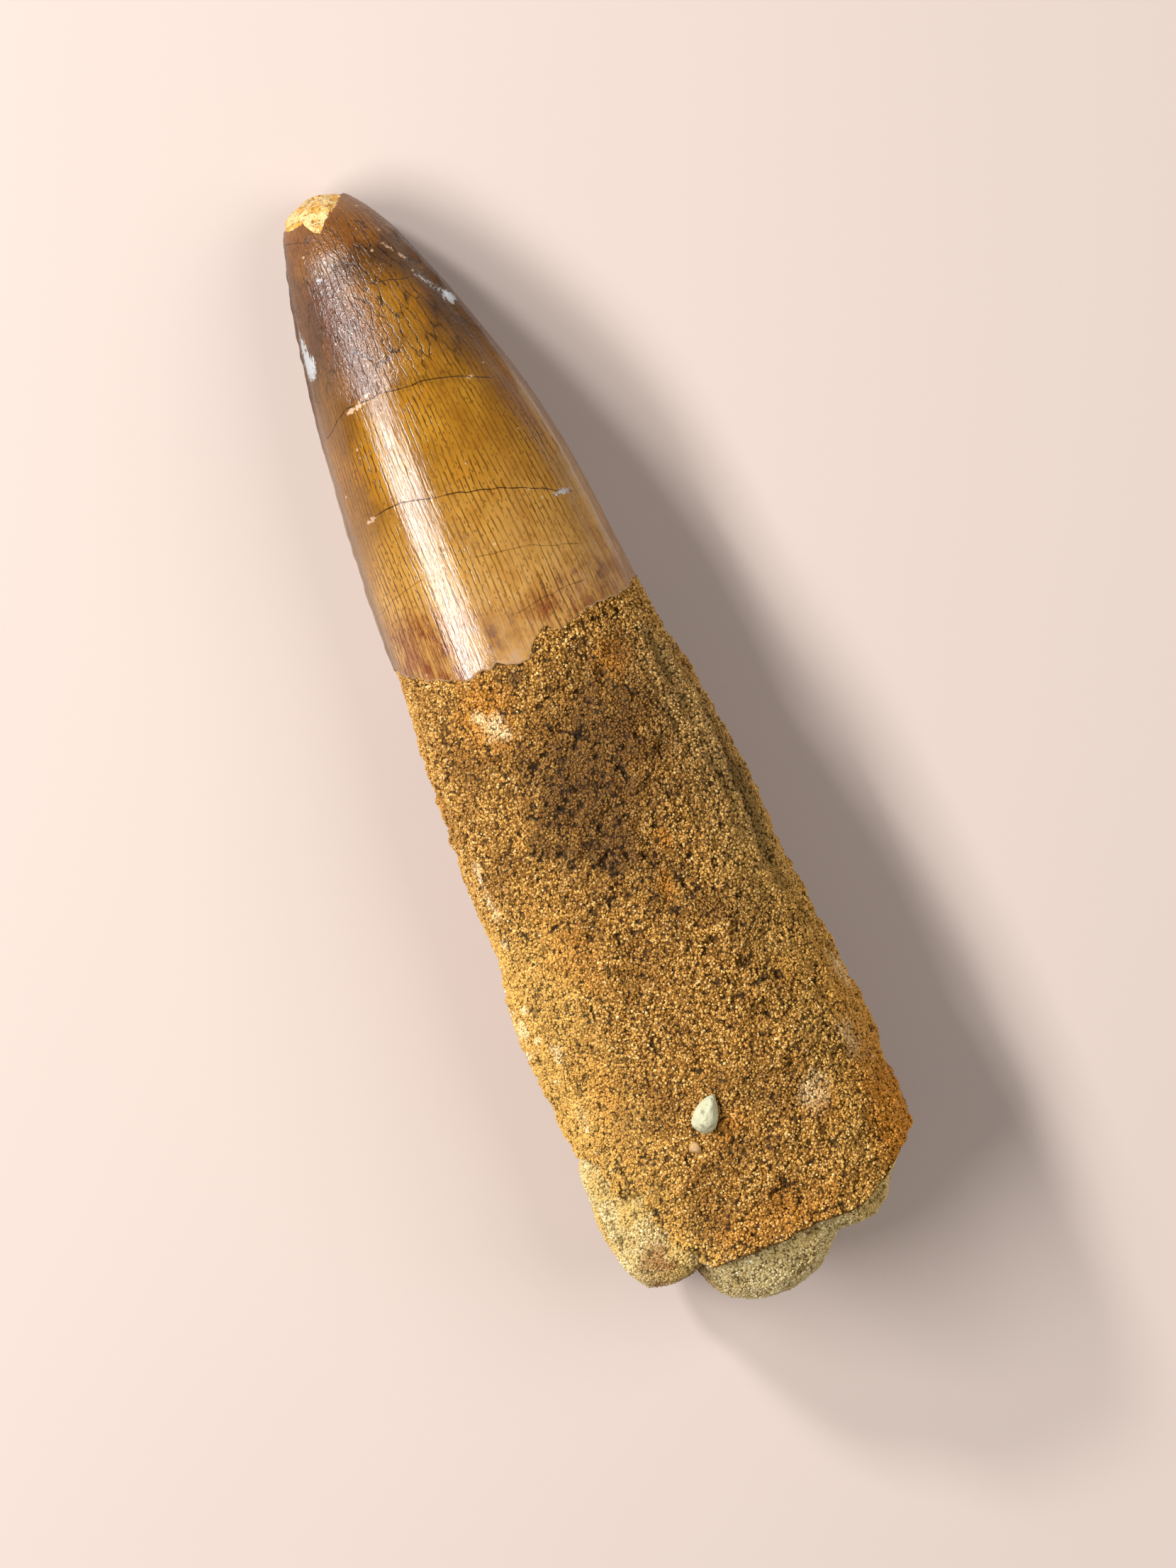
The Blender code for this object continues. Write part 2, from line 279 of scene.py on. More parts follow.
WORN_TIP_EDGE = Margin(
    degrees=(0, 20, 40, 65, 90, 104, 112, 123, 140, 160, 180, 230, 290, 335),
    at=(0.6, 0.5, 0.7, 1.35, 2.4, 3.1, 2.7, 1.6, 1.9, 1.75, 1.6, 2.4, 2.0, 0.9),
    jag=0.12,
    seed=1,
)
CROWN_RIM = Margin(
    degrees=(
        0, 11, 31, 50, 56, 63, 69, 76.5, 80.6, 87.6, 91, 97, 103.5, 109, 113, 118.6, 125.4, 136.6,
        153, 174, 180, 225, 270, 315,
    ),
    at=(
        42.3, 42.3, 43.1, 43.1, 43.4, 43.8, 44.1, 43.3, 43.7, 44.4, 45.3, 45.3, 45.0, 44.6, 45.0,
        45.0, 45.1, 44.3, 43.3, 41.6, 41.4, 42.6, 44.0, 42.9,
    ),
    jag=0.28,
    seed=5,
)


def off_angle(angle: np.ndarray, degrees: float) -> np.ndarray:
    """How many degrees an angle in radians lies from the given one, the short way round."""
    return np.abs((np.degrees(angle) - degrees + 180.0) % 360.0 - 180.0)


def linear(colour: str) -> tuple[float, float, float, float]:
    """Turns an sRGB hex colour to the linear values that a shader takes.

    Args:
        colour: Six hex digits, such as "b98234".

    Returns:
        Red, green, blue and an alpha of 1.
    """
    parts = [int(colour[i : i + 2], 16) / 255 for i in (0, 2, 4)]
    return (*(c / 12.92 if c <= 0.04045 else ((c + 0.055) / 1.055) ** 2.4 for c in parts), 1.0)


class NodeTree:
    """A material under construction."""

    def __init__(self, name: str) -> None:
        """Starts a material with its Principled shader.

        Args:
            name: The finish's name.
        """
        self.material = bpy.data.materials.new(name)
        self.material.use_nodes = True
        self.tree = self.material.node_tree
        self.shader = self.tree.nodes["Principled BSDF"]

    def add(self, kind: str, settings: dict, inputs: dict, output: int | str = 0) -> Socket:
        """Adds a node.

        Args:
            kind: Blender's name of the node, without "ShaderNode".
            settings: The node's own properties.
            inputs: Input name or number to a value, or to the socket that feeds it.
            output: The output that is wanted.

        Returns:
            That output's socket.
        """
        made = self.tree.nodes.new("ShaderNode" + kind)
        for key, value in settings.items():
            setattr(made, key, value)
        self.feed(made, inputs)
        return made.outputs[output]

    def feed(self, node: bpy.types.Node, inputs: dict) -> None:
        """Sets or links a node's inputs.

        Args:
            node: The node.
            inputs: Input name or number to a value, or to the socket that feeds it.
        """
        for key, value in inputs.items():
            if isinstance(value, Socket):
                self.tree.links.new(value, node.inputs[key])
            else:
                node.inputs[key].default_value = value


# Settings that many nodes share. Inputs go by number where names repeat: Math takes 0, 1 and 2 in its
# operation's order; MapRange reads 0 over the range 1 to 2 and gives the range 3 to 4, by default 0 to 1;
# Mix blends colour 6 into colour 7 by the share 0.
PLUS = {"operation": "ADD"}
LESS = {"operation": "SUBTRACT"}
TIMES = {"operation": "MULTIPLY"}
TIMES_PLUS = {"operation": "MULTIPLY_ADD"}
LARGER = {"operation": "MAXIMUM"}
COLOURS = {"data_type": "RGBA"}
GRADED = {"interpolation_type": "SMOOTHSTEP"}
FLAT = {"noise_dimensions": "2D"}


@dataclass(frozen=True)
class AmberEnamel:
    """Fossil tooth enamel: ironstained apatite with a natural polish, so it is glossy and amber.

    Its growth lines show as fine dark grain along the tooth, and it is crossed by hairline cracks.
    Near the tip it is darker, crazed, and dimpled like orange peel, which breaks its gloss up into
    sparkles. Lengths that patterns are scaled by are in millimetres.
    """

    gold: str = "a8751e"
    tan: str = "7e500f"
    straw: str = "c29450"
    honey: str = "925a08"
    amber: str = "764200"
    umber: str = "412402"
    smoke_and_sheen: str = "5a2f16"
    line: str = "4a2b0c"
    blush: str = "7a3d1a"
    plum: str = "573c3a"
    bleached: str = "ab8f78"
    crack: str = "281403"
    edge: str = "b99a70"
    flake: str = "c4a284"
    chip_and_glint: str = "b0b1b2"
    dust: str = "bfa580"
    line_gap: float = 0.60
    dimple: float = 0.27
    crinkle: tuple[float, float] = (3.4, 0.32)
    attributes: tuple[str, ...] = (
        "dark_tip", "smoke_and_sheen", "blush", "plum", "bleach", "chip_and_glint", "flake", "rim_mm", "keel", "shade",
        "crazed", "peel", "facet",
    )

    def growth_lines(self, t: NodeTree, surface: Socket) -> Socket:
        """Dark lines along the tooth: the crests of a sine wave round it, bent by two slow noises.

        Args:
            t: The material.
            surface: Places on the surface in millimetres, along and round.

        Returns:
            1 on a line, 0 between them.
        """
        slow = t.add("Mapping", {}, {"Vector": surface, "Scale": (0.06, 0.16, 1.0)})
        sway = t.add("TexNoise", FLAT, {"Vector": slow, "Scale": 1.0, "Detail": 1.0})
        quick = t.add("Mapping", {}, {"Vector": surface, "Scale": (0.45, 1.2, 1.0)})
        wave = t.add("TexNoise", FLAT, {"Vector": quick, "Scale": 1.0, "Detail": 2.0})
        around = t.add("SeparateXYZ", {}, {0: surface}, 1)
        phase = t.add("Math", TIMES, {0: around, 1: 2 * math.pi / self.line_gap})
        phase = t.add("Math", TIMES_PLUS, {0: sway, 1: 16.0, 2: phase})
        phase = t.add("Math", TIMES_PLUS, {0: wave, 1: 3.2, 2: phase})
        wave = t.add("Math", {"operation": "SINE"}, {0: phase})
        return t.add("MapRange", GRADED, {0: wave, 1: 0.40, 2: 0.98})

    def net(self, t: NodeTree, surface: Socket) -> Socket:
        """Crazing: the borders between warped cells about 3.3 mm long and 1.2 mm wide.

        Args:
            t: The material.
            surface: Places on the surface in millimetres, along and round.

        Returns:
            1 on a border, 0 inside a cell.
        """
        warp = t.add("TexNoise", FLAT, {"Vector": surface, "Scale": 1.0, "Detail": 3.0}, 1)
        cells = t.add("Mapping", {}, {"Vector": surface, "Scale": (0.30, 0.85, 1.0)})
        bent = t.add("VectorMath", TIMES_PLUS, {0: warp, 1: (0.5, 0.7, 0.0), 2: cells})
        settings = {"voronoi_dimensions": "2D", "feature": "DISTANCE_TO_EDGE"}
        border = t.add("TexVoronoi", settings, {"Vector": bent, "Scale": 1.0})
        return t.add("MapRange", GRADED, {0: border, 1: 0.0, 2: 0.13, 3: 1.0, 4: 0.0})

    def cracks(self, t: NodeTree, uneven: Socket) -> Socket:
        """The single cracks. Each attribute channel is the distance across one crack in millimetres.

        Args:
            t: The material.
            uneven: Noise that makes a crack fade here and there.

        Returns:
            1 in a crack, 0 beside it.
        """
        deepest = 0.0
        for attribute, width, depth in (("cracks_mm", 0.09, 0.95), ("fine_cracks_mm", 0.08, 0.5)):
            group = t.add("Attribute", {"attribute_name": attribute}, {}, "Vector")
            share = t.add("MapRange", GRADED, {0: uneven, 1: 0.3, 2: 0.5, 3: 0.55 * depth, 4: depth})
            for channel in range(3):
                signed = t.add("SeparateXYZ", {}, {0: group}, channel)
                away = t.add("Math", {"operation": "ABSOLUTE"}, {0: signed})
                near = t.add("MapRange", GRADED, {0: away, 1: width * 0.3, 2: width, 3: 1.0, 4: 0.0})
                one = t.add("Math", TIMES, {0: near, 1: share})
                deepest = t.add("Math", LARGER, {0: deepest, 1: one})
        return deepest

    def noises(self, t: NodeTree, place: Socket, surface: Socket) -> Sockets:
        """The clouds and grains that the weights are read from.

        Args:
            t: The material.
            place: Object coordinates in metres.
            surface: Places on the surface in millimetres, along and round.

        Returns:
            Noise name to socket: fine lengthwise crinkles, dashes that break up lines and cracks,
            clouds 5 mm wide, mottling 2.4 mm wide, two sizes of grain, and dimples like orange peel.
        """
        long, wide = self.crinkle
        stretched = t.add("Mapping", {}, {"Vector": surface, "Scale": (1 / long, 1 / wide, 1.0)})
        dashes = t.add("Mapping", {}, {"Vector": surface, "Scale": (0.7, 1.5, 1.0)})
        found = {}
        for name, settings, vector, scale, detail, roughness in (
            ("fibre", FLAT, stretched, 1.0, 4.0, 0.62),
            ("gaps", FLAT, dashes, 1.0, 3.0, 0.5),
            ("cloud", {}, place, 190.0, 3.0, 0.5),
            ("mottle", {}, place, 420.0, 5.0, 0.62),
            ("grains", {}, place, 1500.0, 3.0, 0.6),
            ("grit", {}, place, 3600.0, 3.0, 0.6),
            ("peel", {}, place, 1 / (self.dimple * MM), 2.5, 0.55),
        ):
            inputs = {"Vector": vector, "Scale": scale, "Detail": detail, "Roughness": roughness}
            found[name] = t.add("TexNoise", settings, inputs)
        return found

    def grades(self, t: NodeTree, place: Socket, surface: Socket, read: Sockets, noises: Sockets) -> Sockets:
        """Values that come from one source each, graded from the range that is read to another.

        Args:
            t: The material.
            place: Object coordinates in metres.
            surface: Places on the surface in millimetres, along and round.
            read: The crown's attributes.
            noises: The clouds and grains.

        Returns:
            Value name to socket. The dust grains come out up to 0.35 mm wide.
        """
        along = t.add("SeparateXYZ", {}, {0: surface}, 0)
        dots = t.add("Mapping", {}, {"Vector": surface, "Scale": (1.0, 1.9, 1.0)})
        specks = t.add("TexVoronoi", {"voronoi_dimensions": "2D"}, {"Vector": dots, "Scale": 1.0})
        dust = t.add("TexVoronoi", {}, {"Vector": place, "Scale": 430.0})
        fibre, cloud, mottle, gaps = (noises[n] for n in ("fibre", "cloud", "mottle", "gaps"))
        graded = {}
        for name, source, low, high, least, most in (
            ("unbroken", gaps, 0.32, 0.52, 0.15, 1.0),
            ("speck", specks, 0.10, 0.20, 0.8, 0.0),
            ("thinner", cloud, 0.62, 0.36, 0.5, 1.0),
            ("some", gaps, 0.34, 0.50, 0.45, 1.0),
            ("rim", read["rim_mm"], -0.24, -0.08, 0.0, 1.0),
            ("patchy", mottle, 0.42, 0.60, 0.1, 0.8),
            ("dust", dust, 0.035, 0.08, 0.8, 0.0),
            ("tanned", cloud, 0.38, 0.66, 0.0, 0.75),
            ("straw", along, 24.0, 42.0, 0.0, 0.75),
            ("streaks", fibre, 0.50, 0.70, 0.0, 0.45),
            ("honeyed", mottle, 0.45, 0.65, 0.0, 0.4),
            ("in_streaks", fibre, 0.40, 0.56, 0.45, 1.0),
            ("bruised", mottle, 0.44, 0.62, 0.0, 1.0),
            ("grainy", noises["grains"], 0.42, 0.58, 0.35, 1.0),
            ("paled", mottle, 0.62, 0.36, 0.35, 1.0),
            ("worn", fibre, 0.3, 0.6, 0.2, 0.6),
            ("umber", cloud, 0.45, 0.64, 0.0, 0.8),
            ("gloss", fibre, 0.3, 0.7, 0.07, 0.16),
            ("dull", noises["peel"], 0.48, 0.62, 0.22, 0.0),
        ):
            graded[name] = t.add("MapRange", GRADED, {0: source, 1: low, 2: high, 3: least, 4: most})
        return graded

    def dark_lines(self, t: NodeTree, surface: Socket, read: Sockets, graded: Sockets) -> Socket:
        """Growth lines, broken into dashes, with dark specks between them.

        Args:
            t: The material.
            surface: Places on the surface in millimetres, along and round.
            read: The crown's attributes.
            graded: The graded values.

        Returns:
            How dark a line is; it is fainter where the tip is dull and where the base is bleached.
        """
        lines = t.add("Math", TIMES, {0: self.growth_lines(t, surface), 1: graded["unbroken"]})
        lines = t.add("Math", LARGER, {0: lines, 1: graded["speck"]})
        faint = t.add("MapRange", {}, {0: read["peel"], 3: 0.9, 4: 0.5})
        faint = t.add("Math", TIMES, {0: faint, 1: graded["thinner"]})
        faint = t.add("Math", TIMES_PLUS, {0: read["bleach"], 1: -0.62, 2: faint})
        return t.add("Math", TIMES, {0: lines, 1: faint})

    def broken_places(self, t: NodeTree, read: Sockets, noises: Sockets) -> Sockets:
        """White chipped enamel, one patch of it a painted highlight, and pale flakes, with edges that two
        noises make ragged.

        Args:
            t: The material.
            read: The crown's attributes.
            noises: The clouds and grains.

        Returns:
            "chip" and "flake" to their weights.
        """
        ragged = t.add("Math", TIMES_PLUS, {0: noises["grit"], 1: 2.6, 2: -1.3})
        ragged = t.add("Math", TIMES_PLUS, {0: noises["fibre"], 1: 1.6, 2: ragged})
        broken = {}
        for name in ("chip_and_glint", "flake"):
            raised = t.add("Math", PLUS, {0: read[name], 1: ragged})
            shown = t.add("MapRange", GRADED, {0: raised, 1: 0.95, 2: 1.45, 4: 0.92})
            inside = t.add("MapRange", GRADED, {0: read[name], 1: 0.02, 2: 0.30})
            broken[name] = t.add("Math", TIMES, {0: shown, 1: inside})
        return broken

    def products(
        self, t: NodeTree, read: Sockets, graded: Sockets, mottle: Socket, lines: Socket, cleft: Socket
    ) -> Sockets:
        """Weights that are the product of several values.

        Args:
            t: The material.
            read: The crown's attributes.
            graded: The graded values.
            mottle: The mottling.
            lines: How dark a growth line is.
            cleft: How dark a crack is.

        Returns:
            Weight name to socket. The lines come a second time, darker, for the deep amber.
        """
        stained = t.add("MapRange", {}, {0: mottle, 1: 0.26, 2: 0.58})
        weight = {}
        for name, first, *others in (
            ("stained", read["blush"], stained, graded["in_streaks"]),
            ("bruised", read["plum"], graded["bruised"], graded["in_streaks"], graded["grainy"]),
            ("paled", read["bleach"], graded["paled"], graded["in_streaks"], graded["grainy"]),
            ("keel", read["keel"], graded["worn"]),
            ("cleft", cleft, 0.9),
            ("deep_lines", lines, read["dark_tip"], 0.8),
            ("facet", read["facet"], 0.16),
            ("rim", graded["rim"], graded["patchy"]),
        ):
            weight[name] = first
            for other in others:
                weight[name] = t.add("Math", TIMES, {0: weight[name], 1: other})
        return weight

    def make(self) -> bpy.types.Material:
        """Builds the material.

        Returns:
            The enamel material, which reads the crown's UV map and attributes.
        """
        t = NodeTree("amber_fossil_enamel")
        place = t.add("TexCoord", {}, {}, "Object")
        surface = t.add("UVMap", {"uv_map": "surface_mm"}, {})
        read = {a: t.add("Attribute", {"attribute_name": a}, {}, "Fac") for a in self.attributes}
        noises = self.noises(t, place, surface)
        graded = self.grades(t, place, surface, read, noises)
        lines = self.dark_lines(t, surface, read, graded)
        crazed = t.add("Math", TIMES, {0: self.net(t, surface), 1: read["crazed"]})
        crazed = t.add("Math", TIMES, {0: crazed, 1: graded["some"]})
        cleft = t.add("Math", LARGER, {0: self.cracks(t, noises["gaps"]), 1: crazed})
        broken = self.broken_places(t, read, noises)
        weight = self.products(t, read, graded, noises["mottle"], lines, cleft)

        # The colours, each laid over the ones before it.
        tip = {0: graded["honeyed"], 6: linear(self.amber), 7: linear(self.honey)}
        tip = {0: graded["umber"], 6: t.add("Mix", COLOURS, tip, 2), 7: linear(self.umber)}
        layers = (
            (graded["tanned"], self.tan),
            (graded["straw"], self.straw),
            (graded["honeyed"], self.honey),
            (graded["streaks"], self.tan),
            (read["dark_tip"], t.add("Mix", COLOURS, tip, 2)),
            # Smoky tone, partly a painted sheen along the spread gloss.
            (read["smoke_and_sheen"], self.smoke_and_sheen),
            (weight["paled"], self.bleached),
            (weight["stained"], self.blush),
            (weight["bruised"], self.plum),
            (weight["facet"], self.edge),
            (lines, self.line),
            # Painted shade on the tip's sides and along the left edge.
            (read["shade"], self.umber),
            (weight["deep_lines"], self.crack),
            (weight["keel"], self.edge),
            (weight["cleft"], self.crack),
            (weight["rim"], self.edge),
            (graded["dust"], self.dust),
            (broken["flake"], self.flake),
            # White enamel where it is broken, and one painted highlight.
            (broken["chip_and_glint"], self.chip_and_glint),
        )
        colour = linear(self.gold)
        for share, tone in layers:
            tone = linear(tone) if isinstance(tone, str) else tone
            colour = t.add("Mix", COLOURS, {0: share, 6: colour, 7: tone}, 2)

        # Relief: dimples, strongest near the tip, and crinkles, lines and cracks.
        depth = t.add("Math", LESS, {0: read["peel"], 1: read["facet"]})
        depth = t.add("MapRange", {}, {0: depth, 3: 0.10, 4: 0.68})
        height = t.add("Math", TIMES, {0: noises["peel"], 1: depth})
        for source, share in ((noises["fibre"], 0.26), (lines, -0.10), (cleft, -0.25)):
            height = t.add("Math", TIMES_PLUS, {0: source, 1: share, 2: height})
        bump = t.add("Bump", {}, {"Height": height, "Strength": 1.0, "Distance": 0.10 * MM})

        # Gloss: duller in the dimples, where shade is painted on the sides, and where the enamel is
        # broken or a highlight is painted.
        rough = graded["gloss"]
        for source, share in (
            (read["peel"], graded["dull"]),
            (read["shade"], 0.25),
            (broken["chip_and_glint"], 0.4),
            (weight["rim"], 0.3),
        ):
            rough = t.add("Math", TIMES_PLUS, {0: source, 1: share, 2: rough})
        t.feed(t.shader, {"Base Color": colour, "Roughness": rough, "Normal": bump, "IOR": 1.62})
        return t.material


@dataclass(frozen=True)
class GranularStone:
    """Sand grains held by iron cement: matte, with single quartz grains that glint.

    The stains are names of attributes, with the colour that each one brings in, one of them painted
    shade in the hollows. Loose grains take their own random tint. A whole surface gets packed grains
    of the same size and painted shade in the crevices between them.
    """

    name: str
    quartz: str
    light: str
    dark: str
    crevice_shade: str
    stains: tuple[tuple[str, str], ...]
    loose: bool
    grain: float = 0.32
    roughness: float = 0.75

    def make(self) -> bpy.types.Material:
        """Builds the material.

        Returns:
            The stone material, which reads Object coordinates and the piece's attributes.
        """
        t = NodeTree(self.name)
        place = t.add("TexCoord", {}, {}, "Object")
        packed = {"Vector": place, "Scale": 1 / (self.grain * MM)}
        cloud = t.add("TexNoise", {}, {"Vector": place, "Scale": 250.0, "Detail": 5.0, "Roughness": 0.6})
        away = t.add("TexVoronoi", {}, packed)
        own = t.add("SeparateColor", {}, {0: t.add("TexVoronoi", {}, packed, "Color")})

        # Each grain has a shade of its own, and the clearest are quartz. Clouds 4 mm wide darken them.
        if self.loose:
            own = t.add("Attribute", {"attribute_name": "tint"}, {}, "Fac")
        lit = t.add("MapRange", {}, {0: own, 1: 0.05, 2: 0.85})
        colour = t.add("Mix", COLOURS, {0: lit, 6: linear(self.dark), 7: linear(self.light)}, 2)
        clear = t.add("MapRange", GRADED, {0: own, 1: 0.86, 2: 1.0, 4: 0.75})
        colour = t.add("Mix", COLOURS, {0: clear, 6: colour, 7: linear(self.quartz)}, 2)
        clouded = t.add("MapRange", GRADED, {0: cloud, 1: 0.46, 2: 0.64, 4: 0.6})
        colour = t.add("Mix", COLOURS, {0: clouded, 6: colour, 7: linear(self.dark)}, 2)

        # A stain takes hold of some grains more than of others.
        uneven = t.add("MapRange", {}, {0: own, 3: 0.30, 4: 1.0})
        for attribute, stain in self.stains:
            weight = t.add("Attribute", {"attribute_name": attribute}, {}, "Fac")
            share = t.add("Math", TIMES, {0: weight, 1: uneven})
            colour = t.add("Mix", COLOURS, {0: share, 6: colour, 7: linear(stain)}, 2)
        if self.loose:
            glint = t.add("MapRange", {}, {0: own, 1: 0.92, 2: 0.96, 3: self.roughness, 4: 0.22})
            t.feed(t.shader, {"Base Color": colour, "Roughness": glint, "Specular IOR Level": 0.3})
            return t.material

        # Between packed grains the surface lies lower and is darkened with painted shade, and each grain is
        # rough with grit 0.17 mm wide.
        sunk_shade = t.add("MapRange", GRADED, {0: away, 1: 0.42, 2: 0.72, 4: 0.85})
        colour = t.add("Mix", COLOURS, {0: sunk_shade, 6: colour, 7: linear(self.crevice_shade)}, 2)
        grit = t.add("TexNoise", {}, {"Vector": place, "Scale": 6000.0, "Detail": 2.0})
        height = t.add("Math", TIMES, {0: grit, 1: 0.35})
        height = t.add("Math", LESS, {0: height, 1: away})
        bump = t.add("Bump", {}, {"Height": height, "Strength": 1.0, "Distance": 0.6 * self.grain * MM})
        t.feed(t.shader, {"Base Color": colour, "Normal": bump})
        t.feed(t.shader, {"Roughness": self.roughness, "Specular IOR Level": 0.2})
        return t.material


CRUST_STAINS = (
    ("flank", "bd9a5e"),
    ("ochre", "e0922c"),
    ("pale", "e6b860"),
    ("dark", "5e3e1e"),
    ("cream", "fae0ac"),
    # Painted shade: near-black in the gaps between crumbs.
    ("hollow_shade", "150b03"),
)
# On the sandstone, dark pits are painted shade.
SANDSTONE_STAINS = (("yellow", "dab260"), ("rust", "8f561c"), ("hollow_shade", "7a6230"))
IRON_SAND_CRUST = GranularStone(
    "iron_sand_crust", "c29854", "a5742e", "694618", "170c03", CRUST_STAINS, loose=False
)
IRON_SAND_GRAINS = GranularStone(
    "iron_sand_grains", "eed69c", "e0ae5a", "8c5c1e", "170c03", CRUST_STAINS, loose=True
)
BUFF_SANDSTONE = GranularStone(
    "buff_sandstone", "ece0b6", "d4be84", "a88e5a", "4a3818", SANDSTONE_STAINS, loose=False
)
BUFF_SAND_GRAINS = GranularStone(
    "buff_sand_grains", "fbf4d6", "ecdaa4", "b89e62", "4a3818", SANDSTONE_STAINS, loose=True
)


@dataclass(frozen=True)
class ChalkyDentine:
    """Bare dentine at the worn tip: porous, cream to yellow-orange, quite matte, with fine crumbs."""

    cream: str = "e6c787"
    yellow: str = "d99a30"
    rust: str = "8e4a10"

    def make(self) -> bpy.types.Material:
        """Builds the material.

        Returns:
            The dentine material, which reads Object coordinates.
        """
        t = NodeTree("chalky_dentine")
        place = t.add("TexCoord", {}, {}, "Object")

        # Yellow patches 1.1 mm wide, and rusty crumbs 0.4 mm wide that also give the relief.
        patch = t.add("TexNoise", {}, {"Vector": place, "Scale": 900.0, "Detail": 5.0, "Roughness": 0.7})
        crumb = t.add("TexNoise", {}, {"Vector": place, "Scale": 2400.0, "Detail": 3.0, "Roughness": 0.6})
        yellowed = t.add("MapRange", GRADED, {0: patch, 1: 0.44, 2: 0.60})
        rusty = t.add("MapRange", GRADED, {0: crumb, 1: 0.54, 2: 0.68, 4: 0.85})
        colour = t.add("Mix", COLOURS, {0: yellowed, 6: linear(self.cream), 7: linear(self.yellow)}, 2)
        colour = t.add("Mix", COLOURS, {0: rusty, 6: colour, 7: linear(self.rust)}, 2)
        bump = t.add("Bump", {}, {"Height": crumb, "Strength": 1.0, "Distance": 0.45 * MM})
        t.feed(t.shader, {"Base Color": colour, "Roughness": 0.7, "Normal": bump})
        return t.material


@dataclass(frozen=True)
class WornStone:
    """A loose stone worn smooth, such as claystone: matte, with shallow darker pits."""

    name: str
    face: str
    pit: str

    def make(self) -> bpy.types.Material:
        """Builds the material.

        Returns:
            The stone's material, which reads Object coordinates.
        """
        t = NodeTree(self.name)
        place = t.add("TexCoord", {}, {}, "Object")

        # Pits 0.6 mm wide, darker than the face.
        pits = t.add("TexNoise", {}, {"Vector": place, "Scale": 1600.0, "Detail": 4.0, "Roughness": 0.6})
        share = t.add("MapRange", GRADED, {0: pits, 1: 0.50, 2: 0.72})
        colour = t.add("Mix", COLOURS, {0: share, 6: linear(self.face), 7: linear(self.pit)}, 2)
        bump = t.add("Bump", {}, {"Height": pits, "Strength": 0.6, "Distance": -0.14 * MM})
        t.feed(t.shader, {"Base Color": colour, "Roughness": 0.8, "Normal": bump})
        return t.material


class CadNode(Enum):
    """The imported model's nodes, which are also the record's material slots."""

    TOOTH = "tooth"
    SANDSTONE = "sandstone_fill"
    PEBBLE = "pebble"


def stand(name: str, data: bpy.types.ID) -> bpy.types.Object:
    """Puts a mesh, a lamp or a camera into the scene.

    Args:
        name: The object's name.
        data: What it shows.

    Returns:
        The object.
    """
    made = bpy.data.objects.new(name, data)
    bpy.context.scene.collection.objects.link(made)
    return made


def aimed(right: tuple, up: tuple, back: tuple, place: tuple) -> Matrix:
    """Turns an object so that its own right, up and back point as given, and moves it to a place."""
    return Matrix.Translation(place) @ Matrix((right, up, back)).transposed().to_4x4()


def new_piece(
    name: str,
    points: np.ndarray,
    faces: list[np.ndarray],
    material: bpy.types.Material,
    stands_for: CadNode,
    values: dict[str, np.ndarray] | None = None,
    uv: tuple[str, np.ndarray] | None = None,
    flat: bool = False,
) -> bpy.types.Object:
    """Makes a piece of the object from arrays.

    Args:
        name: The piece's name.
        points: Vertices in millimetres.
        faces: Arrays of faces, each with one number of corners.
        material: Its finish.
        stands_for: The CAD node that it replaces, which is hidden.
        values: Attribute name to one number or three for each vertex.
        uv: A UV map's name and its place for each corner, in the faces' order.
        flat: True for facets, False for smooth shading.

    Returns:
        The finished piece, riding on the object's one body.
    """
    mesh = bpy.data.meshes.new(name)
    mesh.vertices.add(len(points))
    mesh.vertices.foreach_set("co", (points * MM).astype(np.float32).ravel())
    corners = np.concatenate([f.ravel() for f in faces])
    counts = np.concatenate([np.full(len(f), f.shape[1]) for f in faces])
    mesh.loops.add(len(corners))
    mesh.loops.foreach_set("vertex_index", corners.astype(np.int32))
    mesh.polygons.add(len(counts))
    starts = np.concatenate([[0], np.cumsum(counts)[:-1]])
    mesh.polygons.foreach_set("loop_start", starts.astype(np.int32))
    mesh.update(calc_edges=True)
    for key, value in (values or {}).items():
        kind, entry = ("FLOAT", "value") if value.ndim == 1 else ("FLOAT_VECTOR", "vector")
        layer = mesh.attributes.new(key, kind, "POINT")
        layer.data.foreach_set(entry, value.astype(np.float32).ravel())
    if uv:
        layer = mesh.uv_layers.new(name=uv[0])
        layer.data.foreach_set("uv", uv[1].astype(np.float32).ravel())
    mesh.materials.append(material)
    if not flat:
        mesh.shade_smooth()
    made = stand(name, mesh)
    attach(made, "root")
    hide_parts(stands_for.value)
    log.info("%s: %d triangles for %s", name, int((counts - 2).sum()), stands_for.value)
    return made


def tube_faces(rows: int, columns: int) -> list[np.ndarray]:
    """Faces of a closed tube of rings, whose two last vertices are its first and its last pole.

    Args:
        rows: How many rings, from the first pole to the last.
        columns: How many vertices in a ring, with the angle rising.

    Returns:
        The quads between rings, then the triangles round each pole, all facing outwards.
    """
    j = np.arange(columns)
    k = (j + 1) % columns
    ring = np.arange(rows - 1)[:, None] * columns
    quads = np.stack([ring + j, ring + k, ring + columns + k, ring + columns + j], axis=-1)
    first, last = rows * columns, rows * columns + 1
    end = (rows - 1) * columns
    fans = [np.stack([0 * j + first, k, j], axis=-1), np.stack([0 * j + last, end + j, end + k], axis=-1)]
    return [quads.reshape(-1, 4), *fans]


def closed(rings: np.ndarray) -> np.ndarray:
    """Vertices for tube_faces: the rings' points in order, then the middles of the first and last ring."""
    return np.concatenate([rings.reshape(-1, 3), rings.mean(axis=1)[[0, -1]]])


